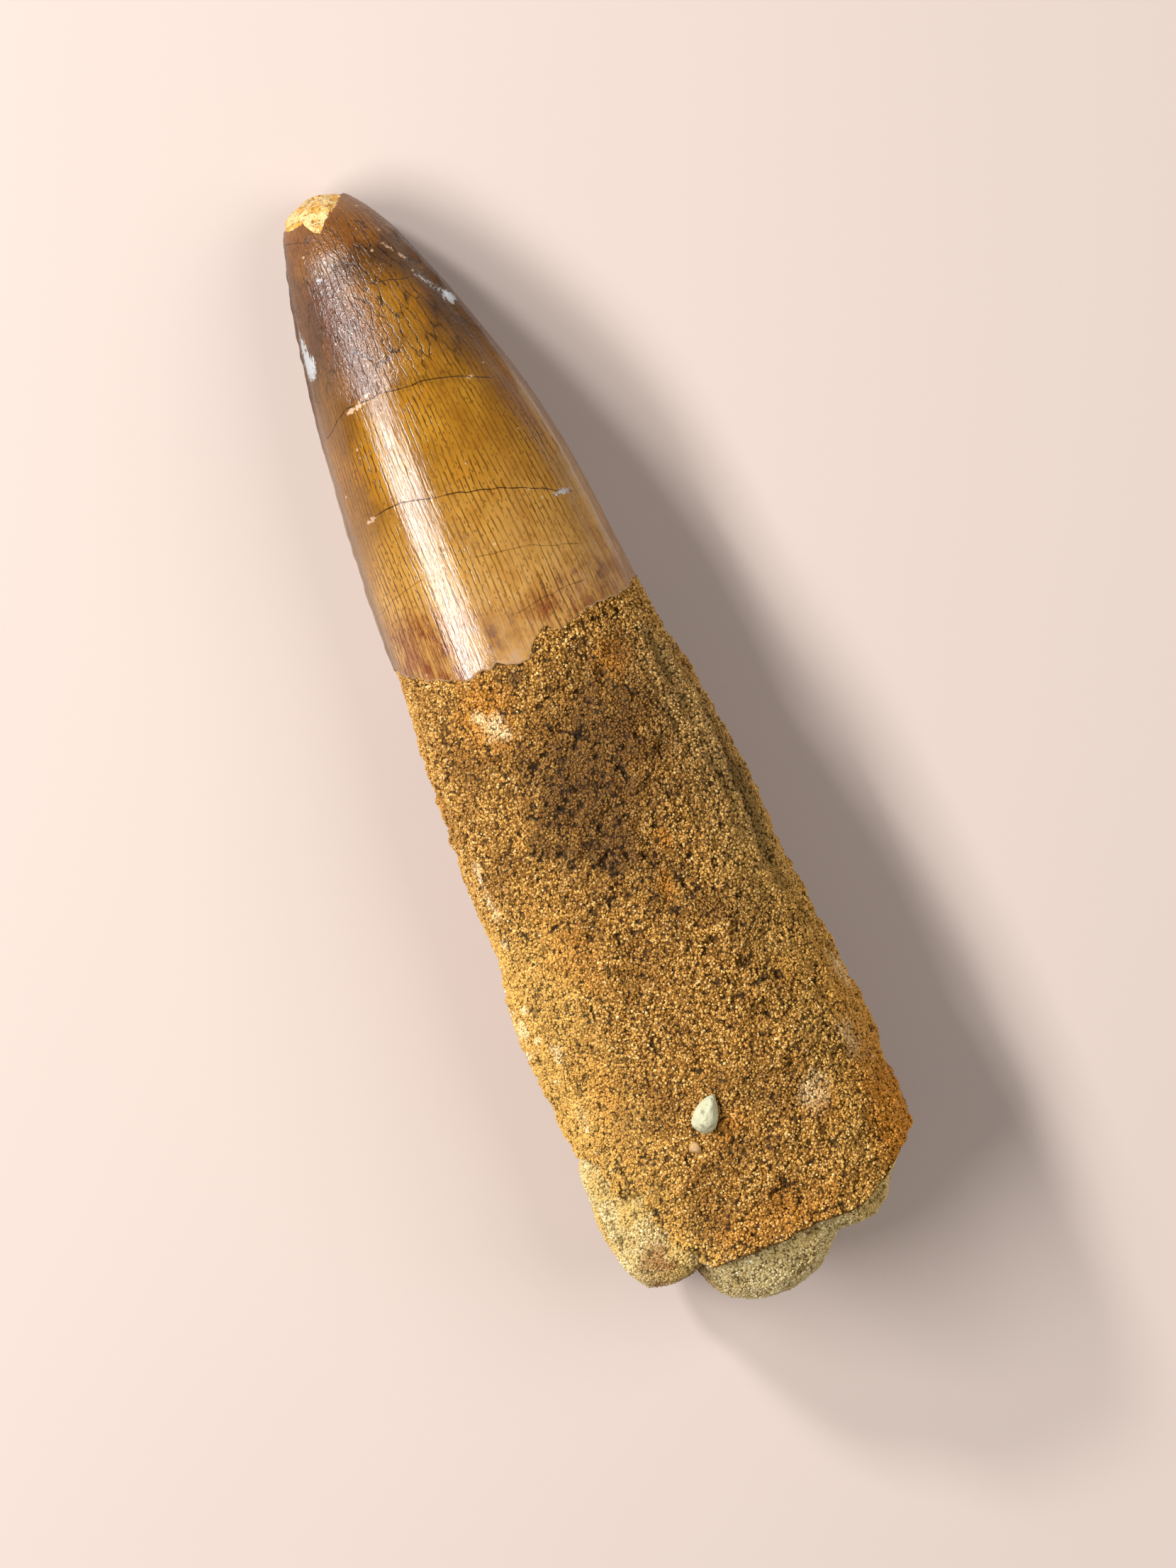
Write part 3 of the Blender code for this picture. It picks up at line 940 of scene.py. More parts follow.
def tube_uv(s: np.ndarray, around: np.ndarray) -> np.ndarray:
    """UV places in millimetres for the corners of tube_faces, without a smeared seam.

    Args:
        s: Distance from the tip, for each row and column.
        around: Distance round the tooth at each column, and at the seam once more.

    Returns:
        For each corner, its distance from the tip and round the tooth.
    """
    rows, columns = s.shape
    j = np.arange(columns)
    k = (j + 1) % columns
    low, high = np.broadcast_to(around[:-1], s.shape), np.broadcast_to(around[1:], s.shape)
    quads = np.stack(
        [
            np.stack([s[:-1], low[:-1]], axis=-1),
            np.stack([s[:-1][:, k], high[:-1]], axis=-1),
            np.stack([s[1:][:, k], high[1:]], axis=-1),
            np.stack([s[1:], low[1:]], axis=-1),
        ],
        axis=2,
    )
    fans = []
    for row, order in ((0, (1, 0)), (rows - 1, (0, 1))):
        both = (np.stack([s[row], around[:-1]], -1), np.stack([s[row][k], around[1:]], -1))
        middle = (both[0] + both[1]) / 2
        fans.append(np.stack([middle, both[order[0]], both[order[1]]], axis=1))
    return np.concatenate([quads.reshape(-1, 2), *(f.reshape(-1, 2) for f in fans)])


@dataclass(frozen=True)
class Crack:
    """A crack across the crown: how far from the tip it is, at distances to the right."""

    y: tuple[float, ...]
    at: tuple[float, ...]
    seed: int
    right_round: bool = False

    def across(self, points: np.ndarray, s: np.ndarray) -> np.ndarray:
        """Signed distance across the crack, which grows quickly past the crack's two ends.

        Args:
            points: Places on the crown.
            s: Their distance from the tip.

        Returns:
            Millimetres towards the root, and large numbers where the crack doesn't reach.
        """
        y, low = points[..., 1], points[..., 2] < 6.0
        wander = 0.10 * noise(points, 0.9, self.seed) + 0.16 * noise(points, 2.7, self.seed + 1)
        away = s - np.interp(y, self.y, self.at) - wander
        past = np.maximum(np.maximum(self.y[0] - y, y - self.y[-1]), 0.0)
        past = past + (0.0 if self.right_round else 1.0) * low
        return away + np.sign(away) * 4 * past


@dataclass(frozen=True)
class Patch:
    """An irregular patch on the upper side, at a distance from the tip and to the right."""

    s: float
    y: float
    length: float
    width: float
    turn: float = 0.0
    strength: float = 1.0

    def weight(self, s: np.ndarray, y: np.ndarray, ragged: np.ndarray | float = 0.0) -> np.ndarray:
        """How much of the patch shows: 1 in its middle and 0 past its edge, an ellipse.

        Args:
            s: Distance from the tip.
            y: Distance to the right.
            ragged: Noise that makes its edge uneven.

        Returns:
            A number from 0 to 1 for each place.
        """
        turn = math.radians(self.turn)
        along = (s - self.s) * math.cos(turn) + (y - self.y) * math.sin(turn)
        aside = (y - self.y) * math.cos(turn) - (s - self.s) * math.sin(turn)
        away = np.hypot(along / self.length, aside / self.width) * 2
        return self.strength * np.clip(1.15 - away + ragged, 0.0, 1.0)


@dataclass
class CrownStains:
    """Where the enamel is dark, smoky, crazed, stained, bleached or chipped, and where shade, a sheen and a
    highlight are painted.
    """

    chips_and_glint: tuple[Patch, ...] = (
        Patch(12.0, -8.75, 3.4, 0.8, -8, 0.9),
        Patch(13.8, -8.8, 2.6, 1.3, -9, 1.3),
        Patch(12.8, 5.0, 1.9, 1.0, 27, 1.15),
        Patch(11.4, 4.1, 2.6, 0.6, 32, 0.42),
        Patch(10.2, 3.3, 1.8, 0.5, 38, 0.36),
        Patch(32.8, 7.5, 0.6, 2.0, -6, 0.95),
        # Painted highlight: a white glint at the lower end of the facet.
        Patch(7.1, -5.0, 0.6, 0.8, 17, 0.85),
    )
    flakes: tuple[Patch, ...] = (
        Patch(18.95, -6.5, 0.45, 2.2, 10, 1.2),
        Patch(18.3, -5.3, 0.3, 1.6, 10, 1.0),
        Patch(6.6, 1.7, 1.6, 0.35, 35, 0.7),
        Patch(7.9, 2.6, 1.2, 0.35, 40, 0.8),
        Patch(28.6, -9.0, 0.4, 1.6, 10, 0.8),
        Patch(20.3, 4.0, 0.4, 0.8, -12, 0.8),
        Patch(31.6, 5.0, 0.4, 0.6, -18, 0.6),
    )
    facet: Patch = Patch(6.2, -3.9, 1.5, 3.2, 20, 1.0)

    def weights(self, s: np.ndarray, turn: np.ndarray, points: np.ndarray) -> dict[str, np.ndarray]:
        """Works out every weight from soft bands along and across the tooth, and from noise.

        Args:
            s: Distance from the tip.
            turn: Angle round the tooth.
            points: Places on the crown.

        Returns:
            Weight name to a number from 0 to 1 for each place.
        """
        y, upper = points[..., 1], step(-0.1, 0.25, np.sin(turn))
        under = 1 - upper
        ragged = noise(points, 1.3, 11)

        # The amber is deepest at the tip and fades past the first crack, soonest in the middle.
        fade = 1 - step(10.0, 22.5, s + 1.6 * noise(points, 4.0, 12))
        golden = 0.5 * bell(y, 0.6, 3.0) * step(6, 11, s) * upper
        right_amber = 0.7 * step(5.0, 8.0, y - 0.12 * (s - 20)) * (1 - step(24, 34, s)) * upper
        left_amber = 0.5 * step(5.4, 8.4, -y - 0.1 * (s - 20)) * (1 - step(24, 37, s)) * upper
        sides = np.maximum(right_amber, left_amber)
        dark_tip = np.maximum(fade * (0.95 + 0.25 * noise(points, 3.1, 13)) - golden * fade, sides)

        # Smoky tone, partly a painted sheen where the gloss spreads, runs along the left of the upper side
        # to the first crack, and past it on the right. Painted shade makes the tip's right side nearly
        # black and its far left half as dark.
        stripe = bell(y + 0.7 * ragged + 4.9 + 0.03 * (s - 8), 0, 2.3)
        stripe *= step(3.5, 9, s) * (1 - step(18.2, 18.8, s))
        # Painted sheen, with a smoky tone, low on the right.
        lower_right = 0.5 * bell(s, 23, 4.5) * bell(y, 7.0, 2.2)
        near_tip = step(2, 7, s) * (1 - step(15, 24, s))
        right = 0.75 * step(1.8, 4.6, y + ragged)
        left = 0.5 * step(5.8, 7.6, -y + 0.5 * ragged)
        sides_shade = np.maximum(right, left) * near_tip
        # Painted shade: a dark band along the left edge.
        edge = 0.85 * bell(off_angle(turn, 183), 0, 14) * step(2, 4, s) * (1 - 0.7 * step(40, 44, s))

        # Red-brown near the rim, most on the left and round the notch, with plum-coloured bruises, and
        # paler in between.
        left_blush = 1.2 * bell(y, -9.0, 4.2) * step(36.0, 40.5, s)
        right_blush = bell(y, 3.6, 3.6) * step(38.6, 41.4, s)
        edge_blush = 0.6 * step(7.5, 9.5, y) * step(30, 40, s)
        blush = 1.1 * left_blush + left_blush * 0.3 * ragged + right_blush + edge_blush
        plum = bell(s, 40.8, 1.7) * bell(y, 6.8, 2.6) + 0.8 * bell(s, 34.2, 1.3) * bell(y, -1.6, 0.8)
        plum = plum + 0.75 * bell(s, 42.5, 2.2) * bell(y, -4.5, 3.2)
        below_blush = under * step(38.5, 43, s) * step(-0.3, 0.5, noise(points, 4, 14))
        paler = bell(y, -3.4, 4.2) * step(35.0, 43.0, s) + 0.45 * step(2, 6, y) * step(35, 41, s)

        crazed = step(1.5, 4, s) * (1 - step(16, 20, s + noise(points, 3.0, 16)))
        peel = 1 - step(16.5, 19.5, s + 0.6 * noise(points, 2.0, 17))
        dimpled = np.maximum(peel, 0.5 * step(2, 6, y) * (1 - step(20, 26, s)))
        return {
            "dark_tip": np.clip(dark_tip, 0, 1),
            "smoke_and_sheen": np.clip(0.9 * stripe + lower_right, 0, 1) * upper,
            "shade": np.clip(np.maximum(sides_shade * upper, edge), 0, 1),
            "plum": np.clip(plum, 0, 1) * upper,
            "blush": np.clip(blush * upper + 0.8 * below_blush, 0, 1),
            "bleach": np.clip(paler * upper + 0.5 * under * step(37, 44, s), 0, 1) * (0.75 + 0.25 * ragged),
            "chip_and_glint": np.clip(sum(c.weight(s, y) for c in self.chips_and_glint), 0, 1) * upper,
            "flake": np.clip(sum(c.weight(s, y) for c in self.flakes), 0, 1) * upper,
            "facet": np.clip(2.5 * self.facet.weight(s, y, 0.2 * ragged), 0, 1) * upper,
            "crazed": np.clip(crazed * (0.55 + 0.45 * bell(y, 0.0, 5.5) * upper), 0, 1),
            "peel": np.clip(dimpled, 0, 1),
        }


@dataclass
class Crown:
    """The enamel crown, from its worn tip to its broken rim over the root."""

    skin: Skin
    worn: Margin
    rim: Margin
    stains: CrownStains = field(default_factory=CrownStains)
    rows: int = 205
    columns: int = 296
    row_crowding: float = 1.06
    tip_lip_at: tuple[float, ...] = (0.9, 0.1, 0.0)
    tip_lip_inset: tuple[float, ...] = (1.5, 0.45, 0.12)
    rim_lip_at: tuple[float, ...] = (0.0, -0.02, -1.2)
    rim_lip_inset: tuple[float, ...] = (0.10, 0.5, 1.8)
    keels: tuple[float, ...] = (22.0, 184.0)
    keel_spread: float = 4.5
    keel_height: float = 0.28
    serration: float = 0.10
    cracks: tuple[Crack, ...] = (
        Crack(
            (-9.8, -8.4, -7.3, -3.8, -2.1, 0.5, 3.0, 5.6),
            (20.3, 19.3, 18.6, 18.5, 18.8, 19.1, 19.8, 21.0),
            31,
        ),
        Crack(
            (-9.2, -7.5, -5.8, -3.5, -1.2, 1.3, 4.1, 8.4),
            (28.8, 28.3, 28.2, 28.8, 29.4, 30.0, 31.0, 33.1),
            40,
            right_round=True,
        ),
        Crack((-7.6, -4.6, -1.0, 2.4), (2.6, 3.4, 9.2, 10.0), 71),
    )
    fine_cracks: tuple[Crack, ...] = (
        Crack((-0.4, 0.8, 4.1, 6.3), (41.3, 41.05, 40.65, 40.7), 61),
        Crack((-1.8, 3.2, 7.2), (35.3, 36.2, 37.7), 51),
        Crack((-11.8, -10.1, -6.8), (36.6, 35.9, 35.2), 81),
    )

    def build(self, finish: AmberEnamel) -> bpy.types.Object:
        """Makes the crown: its outside, with a lip that folds in under each broken edge.

        The outside is the smooth form plus two keels, each a bell curve round the tooth, their
        serration, and a faint ripple that is stretched along the tooth.

        Args:
            finish: The enamel.

        Returns:
            The piece.
        """
        angle = all_round(self.columns)
        worn, rim = self.worn.read(angle), self.rim.read(angle)
        share = np.linspace(0, 1, self.rows)[:, None] ** self.row_crowding
        outer = (worn + 0.05) + (rim - worn - 0.10) * share
        tip_lip = worn + np.array(self.tip_lip_at)[:, None]
        rim_lip = rim + np.array(self.rim_lip_at)[:, None]
        s = np.concatenate([tip_lip, outer, rim_lip])
        inset = np.zeros((len(s), 1))
        inset[:3, 0] = self.tip_lip_inset
        inset[-3:, 0] = self.rim_lip_inset
        turn = np.broadcast_to(angle, s.shape)
        base = self.skin.points(s, turn)
        near = sum(np.exp(-((off_angle(turn, a) / self.keel_spread) ** 2)) for a in self.keels)
        keel = near * step(3, 9, s) * (1 - step(38, 46, s))
        toothed = self.serration * near * noise(base * (1, 0, 0), 0.9, 6)
        ripple = 0.05 * noise(base * (0.35, 1, 1), 2.4, 3) + 0.02 * noise(base * (0.12, 1, 1), 0.7, 4)
        ripple += 0.018 * noise(base, 0.45, 5) * (1 - step(14, 24, s))
        points = self.skin.points(s, turn, self.keel_height * keel + toothed + ripple - inset)

        values = self.stains.weights(s, turn, points)
        values["rim_mm"] = s - rim
        values["keel"] = near * step(18, 24, s) * (1 - step(36, 43, s))
        flat = {key: value.reshape(-1) for key, value in values.items()}
        for key, group in (("cracks_mm", self.cracks), ("fine_cracks_mm", self.fine_cracks)):
            flat[key] = np.stack([c.across(points, s) for c in group], axis=-1).reshape(-1, 3)
        flat = {key: np.concatenate([v, v[:2]]) for key, v in flat.items()}
        around = MEAN_RADIUS * np.linspace(0, 2 * math.pi, self.columns + 1)
        return new_piece(
            "enamel_crown",
            closed(points),
            tube_faces(*s.shape),
            finish.make(),
            CadNode.TOOTH,
            flat,
            ("surface_mm", tube_uv(s, around)),
        )


@dataclass
class WornTip:
    """The dome of bare dentine where the enamel is worn off the tip."""

    skin: Skin
    worn: Margin
    inset: float = 0.16
    tucked: float = 0.14
    depth: float = 4.6
    dome: float = 1.2
    first_share: float = 0.012
    row_crowding: float = 2.2
    rows: int = 80
    columns: int = 120

    def build(self, finish: ChalkyDentine) -> bpy.types.Object:
        """Makes the dome: rings from the very tip back under the enamel, closed inside.

        The rings close towards the tip as a circle does: by the root of 1 - (1 - s/dome)^2.

        Args:
            finish: The dentine.

        Returns:
            The piece.
        """
        angle = all_round(self.columns)
        share = np.linspace(self.first_share, 1, self.rows)[:, None]
        s = self.depth * share**self.row_crowding + 0 * angle
        turn = np.broadcast_to(angle, s.shape)
        base = self.skin.points(s, turn)
        covered = step(-0.35, 0.25, s - self.worn.read(turn))
        crumbs = 0.18 * noise(base, 1.5, 21, 2) + 0.11 * noise(base, 0.5, 22)
        under = self.tucked * covered + 0.25 * step(2.6, self.depth, s)
        closing = np.sqrt(1 - np.clip(1 - s / self.dome, 0.0, 1.0) ** 2)
        drawn_in = self.skin.radius(s, turn) * (closing - 1)
        points = self.skin.points(s, turn, drawn_in + (crumbs * (1 - covered) - self.inset - under) * closing)
        points[..., 0] += 0.14 * noise(base, 1.0, 23, 2) - 0.25 * (1 - step(0.3, 3.0, s))
        return new_piece(
            "worn_tip_dentine", closed(points), tube_faces(*s.shape), finish.make(), CadNode.TOOTH
        )


@dataclass
class Weathering:
    """Where the root's crust is dark, stained, pale or bare, from each place on it.

    Every weight is a number from 0 to 1. The upper side has the patches listed here, and the lower
    side has clouds of the same kinds.
    """

    dark: tuple[Patch, ...] = (
        Patch(60.4, -1.7, 15, 11, 10, 0.9),
        Patch(57.0, 0.5, 30, 18, 8, 0.7),
        Patch(53.0, 3.5, 14, 11, 0, 0.6),
        Patch(76.0, 8.0, 24, 6, 8, 0.45),
        Patch(87.3, 3.2, 5, 7, 60, 0.4),
        Patch(86.5, -9.0, 3, 6, 50, 0.5),
        Patch(46.8, 6.8, 5, 4, 0, 0.5),
        Patch(46.5, -2.6, 1.3, 1.6, 0, 0.9),
    )
    ochre: tuple[Patch, ...] = (
        Patch(48.7, -6.2, 7.5, 6.5, 0, 0.9),
        Patch(47.8, 5.9, 3.6, 4.4, 70, 0.9),
        Patch(64.3, 3.9, 3.2, 2.0, 20, 0.95),
        Patch(68.3, 2.6, 3.0, 1.4, 0, 0.85),
        Patch(70.0, -8.0, 11, 5, 10, 0.4),
        Patch(95.5, 13.4, 9, 6, 0, 0.9),
        Patch(79.5, 9.4, 5, 3, 0, 0.6),
        Patch(91.5, 7.8, 4, 4, 0, 0.55),
        Patch(99.0, 1.0, 4, 14, 0, 0.4),
        Patch(84.0, -10.0, 12, 4, 0, 0.5),
        Patch(90.0, -0.3, 2.4, 3.6, 30, 0.6),
    )
    cream: tuple[Patch, ...] = (
        Patch(49.5, -6.1, 2.8, 2.6, 20, 1.4),
        Patch(48.4, -7.0, 1.6, 1.3, 0, 1.0),
        Patch(50.6, -5.2, 1.4, 1.2, 0, 0.9),
        Patch(90.3, 7.3, 3.0, 4.4, 60, 0.62),
        Patch(87.4, 12.3, 5, 2, 10, 0.6),
        Patch(80.9, 13.8, 4, 1.2, 5, 0.7),
        Patch(60.8, -12.3, 2.2, 0.7, 0, 1.0),
        Patch(64.0, -12.4, 3.4, 0.8, 0, 1.0),
        Patch(67.8, -12.5, 1.6, 0.9, 0, 1.0),
        Patch(75.7, -14.2, 2.6, 0.8, 0, 1.0),
        Patch(78.1, -11.9, 1.6, 0.9, 30, 1.0),
        Patch(84.0, -12.2, 3, 1.4, 0, 0.5),
    )
    strip_at: tuple[float, ...] = (63.0, 70.0, 80.0, 88.0, 94.0, 100.0)
    strip_width: tuple[float, ...] = (0.0, 1.8, 3.2, 4.8, 6.4, 9.0)

    def weights(self, skin: Skin, points: np.ndarray, angle: np.ndarray) -> dict[str, np.ndarray]:
        """Works out every weight.

        Args:
            skin: The tooth's form.
            points: Places on the root.
            angle: Their angle round the tooth.

        Returns:
            Weight name to a number for each place.
        """
        s, y = points[..., 0] + LENGTH / 2, points[..., 1]
        upper = step(-0.15, 0.2, np.sin(angle))
        ragged = 0.35 * noise(points, 2.2, 41) + 0.3 * noise(points, 0.8, 42)
        cloud = noise(points, 6.5, 43, 3)
        below = (1 - upper) * step(0.1, 0.9, cloud)
        dark = sum(p.weight(s, y, ragged) for p in self.dark) * upper + 0.7 * below
        ochre = sum(p.weight(s, y, ragged) for p in self.ochre) * upper
        ochre = ochre + 0.55 * (1 - upper) * step(0.15, 0.8, -cloud)
        ochre = ochre + 0.5 * step(10, 13, y) * step(76, 84, s) * upper
        cream = sum(p.weight(s, y, 1.2 * ragged) for p in self.cream) * upper
        flecks = step(0.55, 0.75, noise(points, 1.0, 44)) * step(60, 70, s)

        # The sandy strip follows the left edge, widens towards the root's end and fades underneath.
        from_left = y - skin.middle_y(s) + skin.half_width(s)
        width = np.interp(s, self.strip_at, self.strip_width)
        strip = (1 - step(0.6, 1.15, (from_left + 1.4 * ragged) / np.maximum(width, 0.05))) * step(63, 67, s)
        strip *= step(-0.75, -0.35, np.sin(angle))

        # Sand also clings to the right of the broken end and beside the strip. The right of the upper side
        # is painted paler, painted light that lifts its shade, but not the corner of the end.
        end = step(97.5, 102.5, s + 1.2 * ragged) * step(4, 10, y) * 0.6 * upper
        sandy = 0.65 * (1 - step(3.5, 9.5, from_left + ragged)) * step(62, 72, s) * upper
        lit_right_side = 0.42 * step(5.0, 11.0, y) * step(60, 72, s) * (1 - step(84, 92, s) * step(8, 12, y)) * upper
        pale = np.maximum(np.maximum(0.95 * strip, sandy), np.maximum(end, lit_right_side))
        return {
            "dark": np.clip(dark * (1 - strip), 0, 1),
            "ochre": np.clip(ochre, 0, 0.78),
            "cream": np.clip(np.maximum(cream, flecks * strip), 0, 1),
            "pale": np.clip(pale, 0, 0.9),
        }


@dataclass
class Root:
    """The sand-crusted root wall, broken off at its end and broken through on its left flank."""

    skin: Skin
    rim: Margin
    weathering: Weathering
    end: float = 101.0
    rows: int = 285
    columns: int = 330
    under_enamel: float = 0.5
    rim_dip: float = 0.14
    dip_reach: tuple[float, float] = (0.2, 4.0)
    broken_depth: float = 1.1
    broken_at: tuple[float, ...] = (0.12, 0.05, -0.1, -1.5, -7.0)
    broken_inset: tuple[float, ...] = (0.25, 0.7, 1.2, 1.7, 2.4)
    corner_cut: float = 4.7
    corner_from: float = 6.6
    corner_width: float = 8.0
    past_thin: float = 2.5
    under_cut: float = 2.2
    ridge_angle: float = 24.0
    ridge_spread: float = 30.0
    ridge_stretch: tuple[float, float, float] = (0.13, 1.0, 1.0)
    ridge_gap: float = 1.05
    flank_angle: float = 184.0
    flank_at: tuple[float, ...] = (84.0, 89.0, 93.4, 98.2, 101.0)
    flank_half_spread: tuple[float, ...] = (0.0, 32.0, 43.0, 54.0, 62.0)

    def wall_end(self, angle: np.ndarray) -> np.ndarray:
        """Distance from the tip to the broken end, cut back at the right corner, underneath and on the left.

        Args:
            angle: Angles round the tooth.

        Returns:
            The wall's end at each angle. On the left flank it stops a little past where it thins out.
        """
        y = self.skin.points(np.full_like(angle, self.end), angle)[..., 1]
        corner = np.clip((y - self.corner_from) / self.corner_width, 0.0, 1.0) ** 1.5
        under = self.under_cut * np.clip(-np.sin(angle), 0.0, 1.0)
        circle = on_circle(angle, 12)
        ragged = 0.35 * noise(circle, 3.0, 51) + 0.25 * noise(circle, 1.0, 52)
        thinned = np.interp(off_angle(angle, self.flank_angle), self.flank_half_spread, self.flank_at)
        return np.minimum(self.end - self.corner_cut * corner - under, thinned + self.past_thin) + ragged

    def missing(self, s: np.ndarray, angle: np.ndarray, points: np.ndarray) -> np.ndarray:
        """How fully the wall is broken away.

        Args:
            s: Distance from the tip.
            angle: Angle round the tooth.
            points: Places on the smooth skin.

        Returns:
            1 on the left flank near the end, inside a ragged wedge that widens to the end, else 0.
        """
        spread = np.interp(s, self.flank_at, self.flank_half_spread)
        spread = spread + 6 * noise(points, 2.6, 53) + 3 * noise(points, 0.9, 54)
        inside = spread - off_angle(angle, self.flank_angle)
        return step(-2, 7, inside) * step(self.flank_at[0], self.flank_at[1], s)

    def smoother(self, s: np.ndarray, angle: np.ndarray) -> np.ndarray:
        """How smooth and ridged the crust is: 1 on the right flank behind the crown, else 0."""
        beside = np.clip(1 - off_angle(angle, self.ridge_angle) / self.ridge_spread, 0, 1)
        return beside * (1 - step(66, 76, s)) * step(44, 50, s)

    def ridge_wave(self, points: np.ndarray) -> np.ndarray:
        """The lengthwise ridges and furrows: noise that is stretched along the tooth."""
        return noise(points * self.ridge_stretch, self.ridge_gap, 59)

    def hollows(self, s: np.ndarray, angle: np.ndarray, points: np.ndarray) -> np.ndarray:
        """Gaps between crumbs, which dip and take painted shade, from 0 to 1: single ones everywhere, and
        many in the dark patches.

        Args:
            s: Distance from the tip.
            angle: Angle round the tooth.
            points: Places on the smooth skin.

        Returns:
            A number from 0 to 1 for each place: how far a noise of 0.45 mm is over its local limit.
        """
        y = points[..., 1]
        many = bell(s, 60.5, 9.0) * bell(y, -0.5, 5.0) + 0.6 * bell(s, 77, 9) * bell(y, 7.2, 2.6)
        flank = self.smoother(s, angle)
        furrows = 0.75 * flank * step(0.2, 0.5, -self.ridge_wave(points))
        single = step(0.0, 0.25, noise(points, 0.45, 61) - 0.48 + 0.40 * many) * (1 - flank)
        return np.maximum(single, furrows)

    def relief(self, s: np.ndarray, angle: np.ndarray, points: np.ndarray) -> np.ndarray:
        """Height of the crust over the smooth skin: lumps, pits, and ridges on the right flank.

        Args:
            s: Distance from the tip.
            angle: Angle round the tooth.
            points: Places on the smooth skin.

        Returns:
            Millimetres outwards.
        """
        lumps = 0.24 * noise(points, 7.0, 55) + 0.22 * noise(points, 2.8, 56) + 0.20 * noise(points, 1.2, 57)
        crumbs = 0.24 * noise(points, 0.75, 60)
        pits = -0.4 * np.clip(noise(points, 4.2, 58) - 0.35, 0, 1)
        flank = self.smoother(s, angle)
        ridges = 0.38 * self.ridge_wave(points) * flank
        return (lumps + crumbs + pits + ridges) * step(43, 49, s) - 0.15 * self.hollows(s, angle, points)

    def height(self, s: np.ndarray, angle: np.ndarray, points: np.ndarray, rim: np.ndarray) -> np.ndarray:
        """Height of the crust over the smooth skin, with the slight dip next to the enamel's rim."""
        return self.relief(s, angle, points) - self.rim_dip * (1 - step(*self.dip_reach, s - rim))

    def stains(
        self, s: np.ndarray, angle: np.ndarray, base: np.ndarray, shown: np.ndarray
    ) -> dict[str, np.ndarray]:
        """Weights of every stain of the crust.

        Args:
            s: Distance from the tip.
            angle: Angle round the tooth.
            base: Places on the smooth skin, which the gaps between crumbs are read at.
            shown: Places that the patches are read at.

        Returns:
            Stain name to a number from 0 to 1 for each place.
        """
        weights = self.weathering.weights(self.skin, shown, angle)
        # The gaps between crumbs take painted shade.
        weights["hollow_shade"] = self.hollows(s, angle, base) * (1 - weights["cream"])
        weights["flank"] = self.smoother(s, angle)
        return weights

    def build(self, finish: GranularStone) -> bpy.types.Object:
        """Makes the root: from under the enamel to the broken end, and a little way back inside.

        Args:
            finish: The crust.

        Returns:
            The piece.
        """
        angle = all_round(self.columns)
        rim, end = self.rim.read(angle), self.wall_end(angle)
        share = np.linspace(0, 1, self.rows)[:, None]
        outer = (rim - self.under_enamel) + (end - rim + self.under_enamel) * share
        under_rim = (rim - 2.0)[None]
        broken = end + np.array(self.broken_at)[:, None]
        s = np.concatenate([under_rim, outer, broken])
        turn = np.broadcast_to(angle, s.shape)
        base = self.skin.points(s, turn)
        out = self.height(s, turn, base, rim) - self.broken_depth * self.missing(s, turn, base)
        out[0] = -1.6
        out[-len(broken) :] -= np.array(self.broken_inset)[:, None]
        points = self.skin.points(s, turn, out)
        values = self.stains(s, turn, base, points)
        values = {key: np.concatenate([v.reshape(-1), [0.0, 0.0]]) for key, v in values.items()}
        faces = tube_faces(*s.shape)
        return new_piece("root_crust", closed(points), faces, finish.make(), CadNode.TOOTH, values)


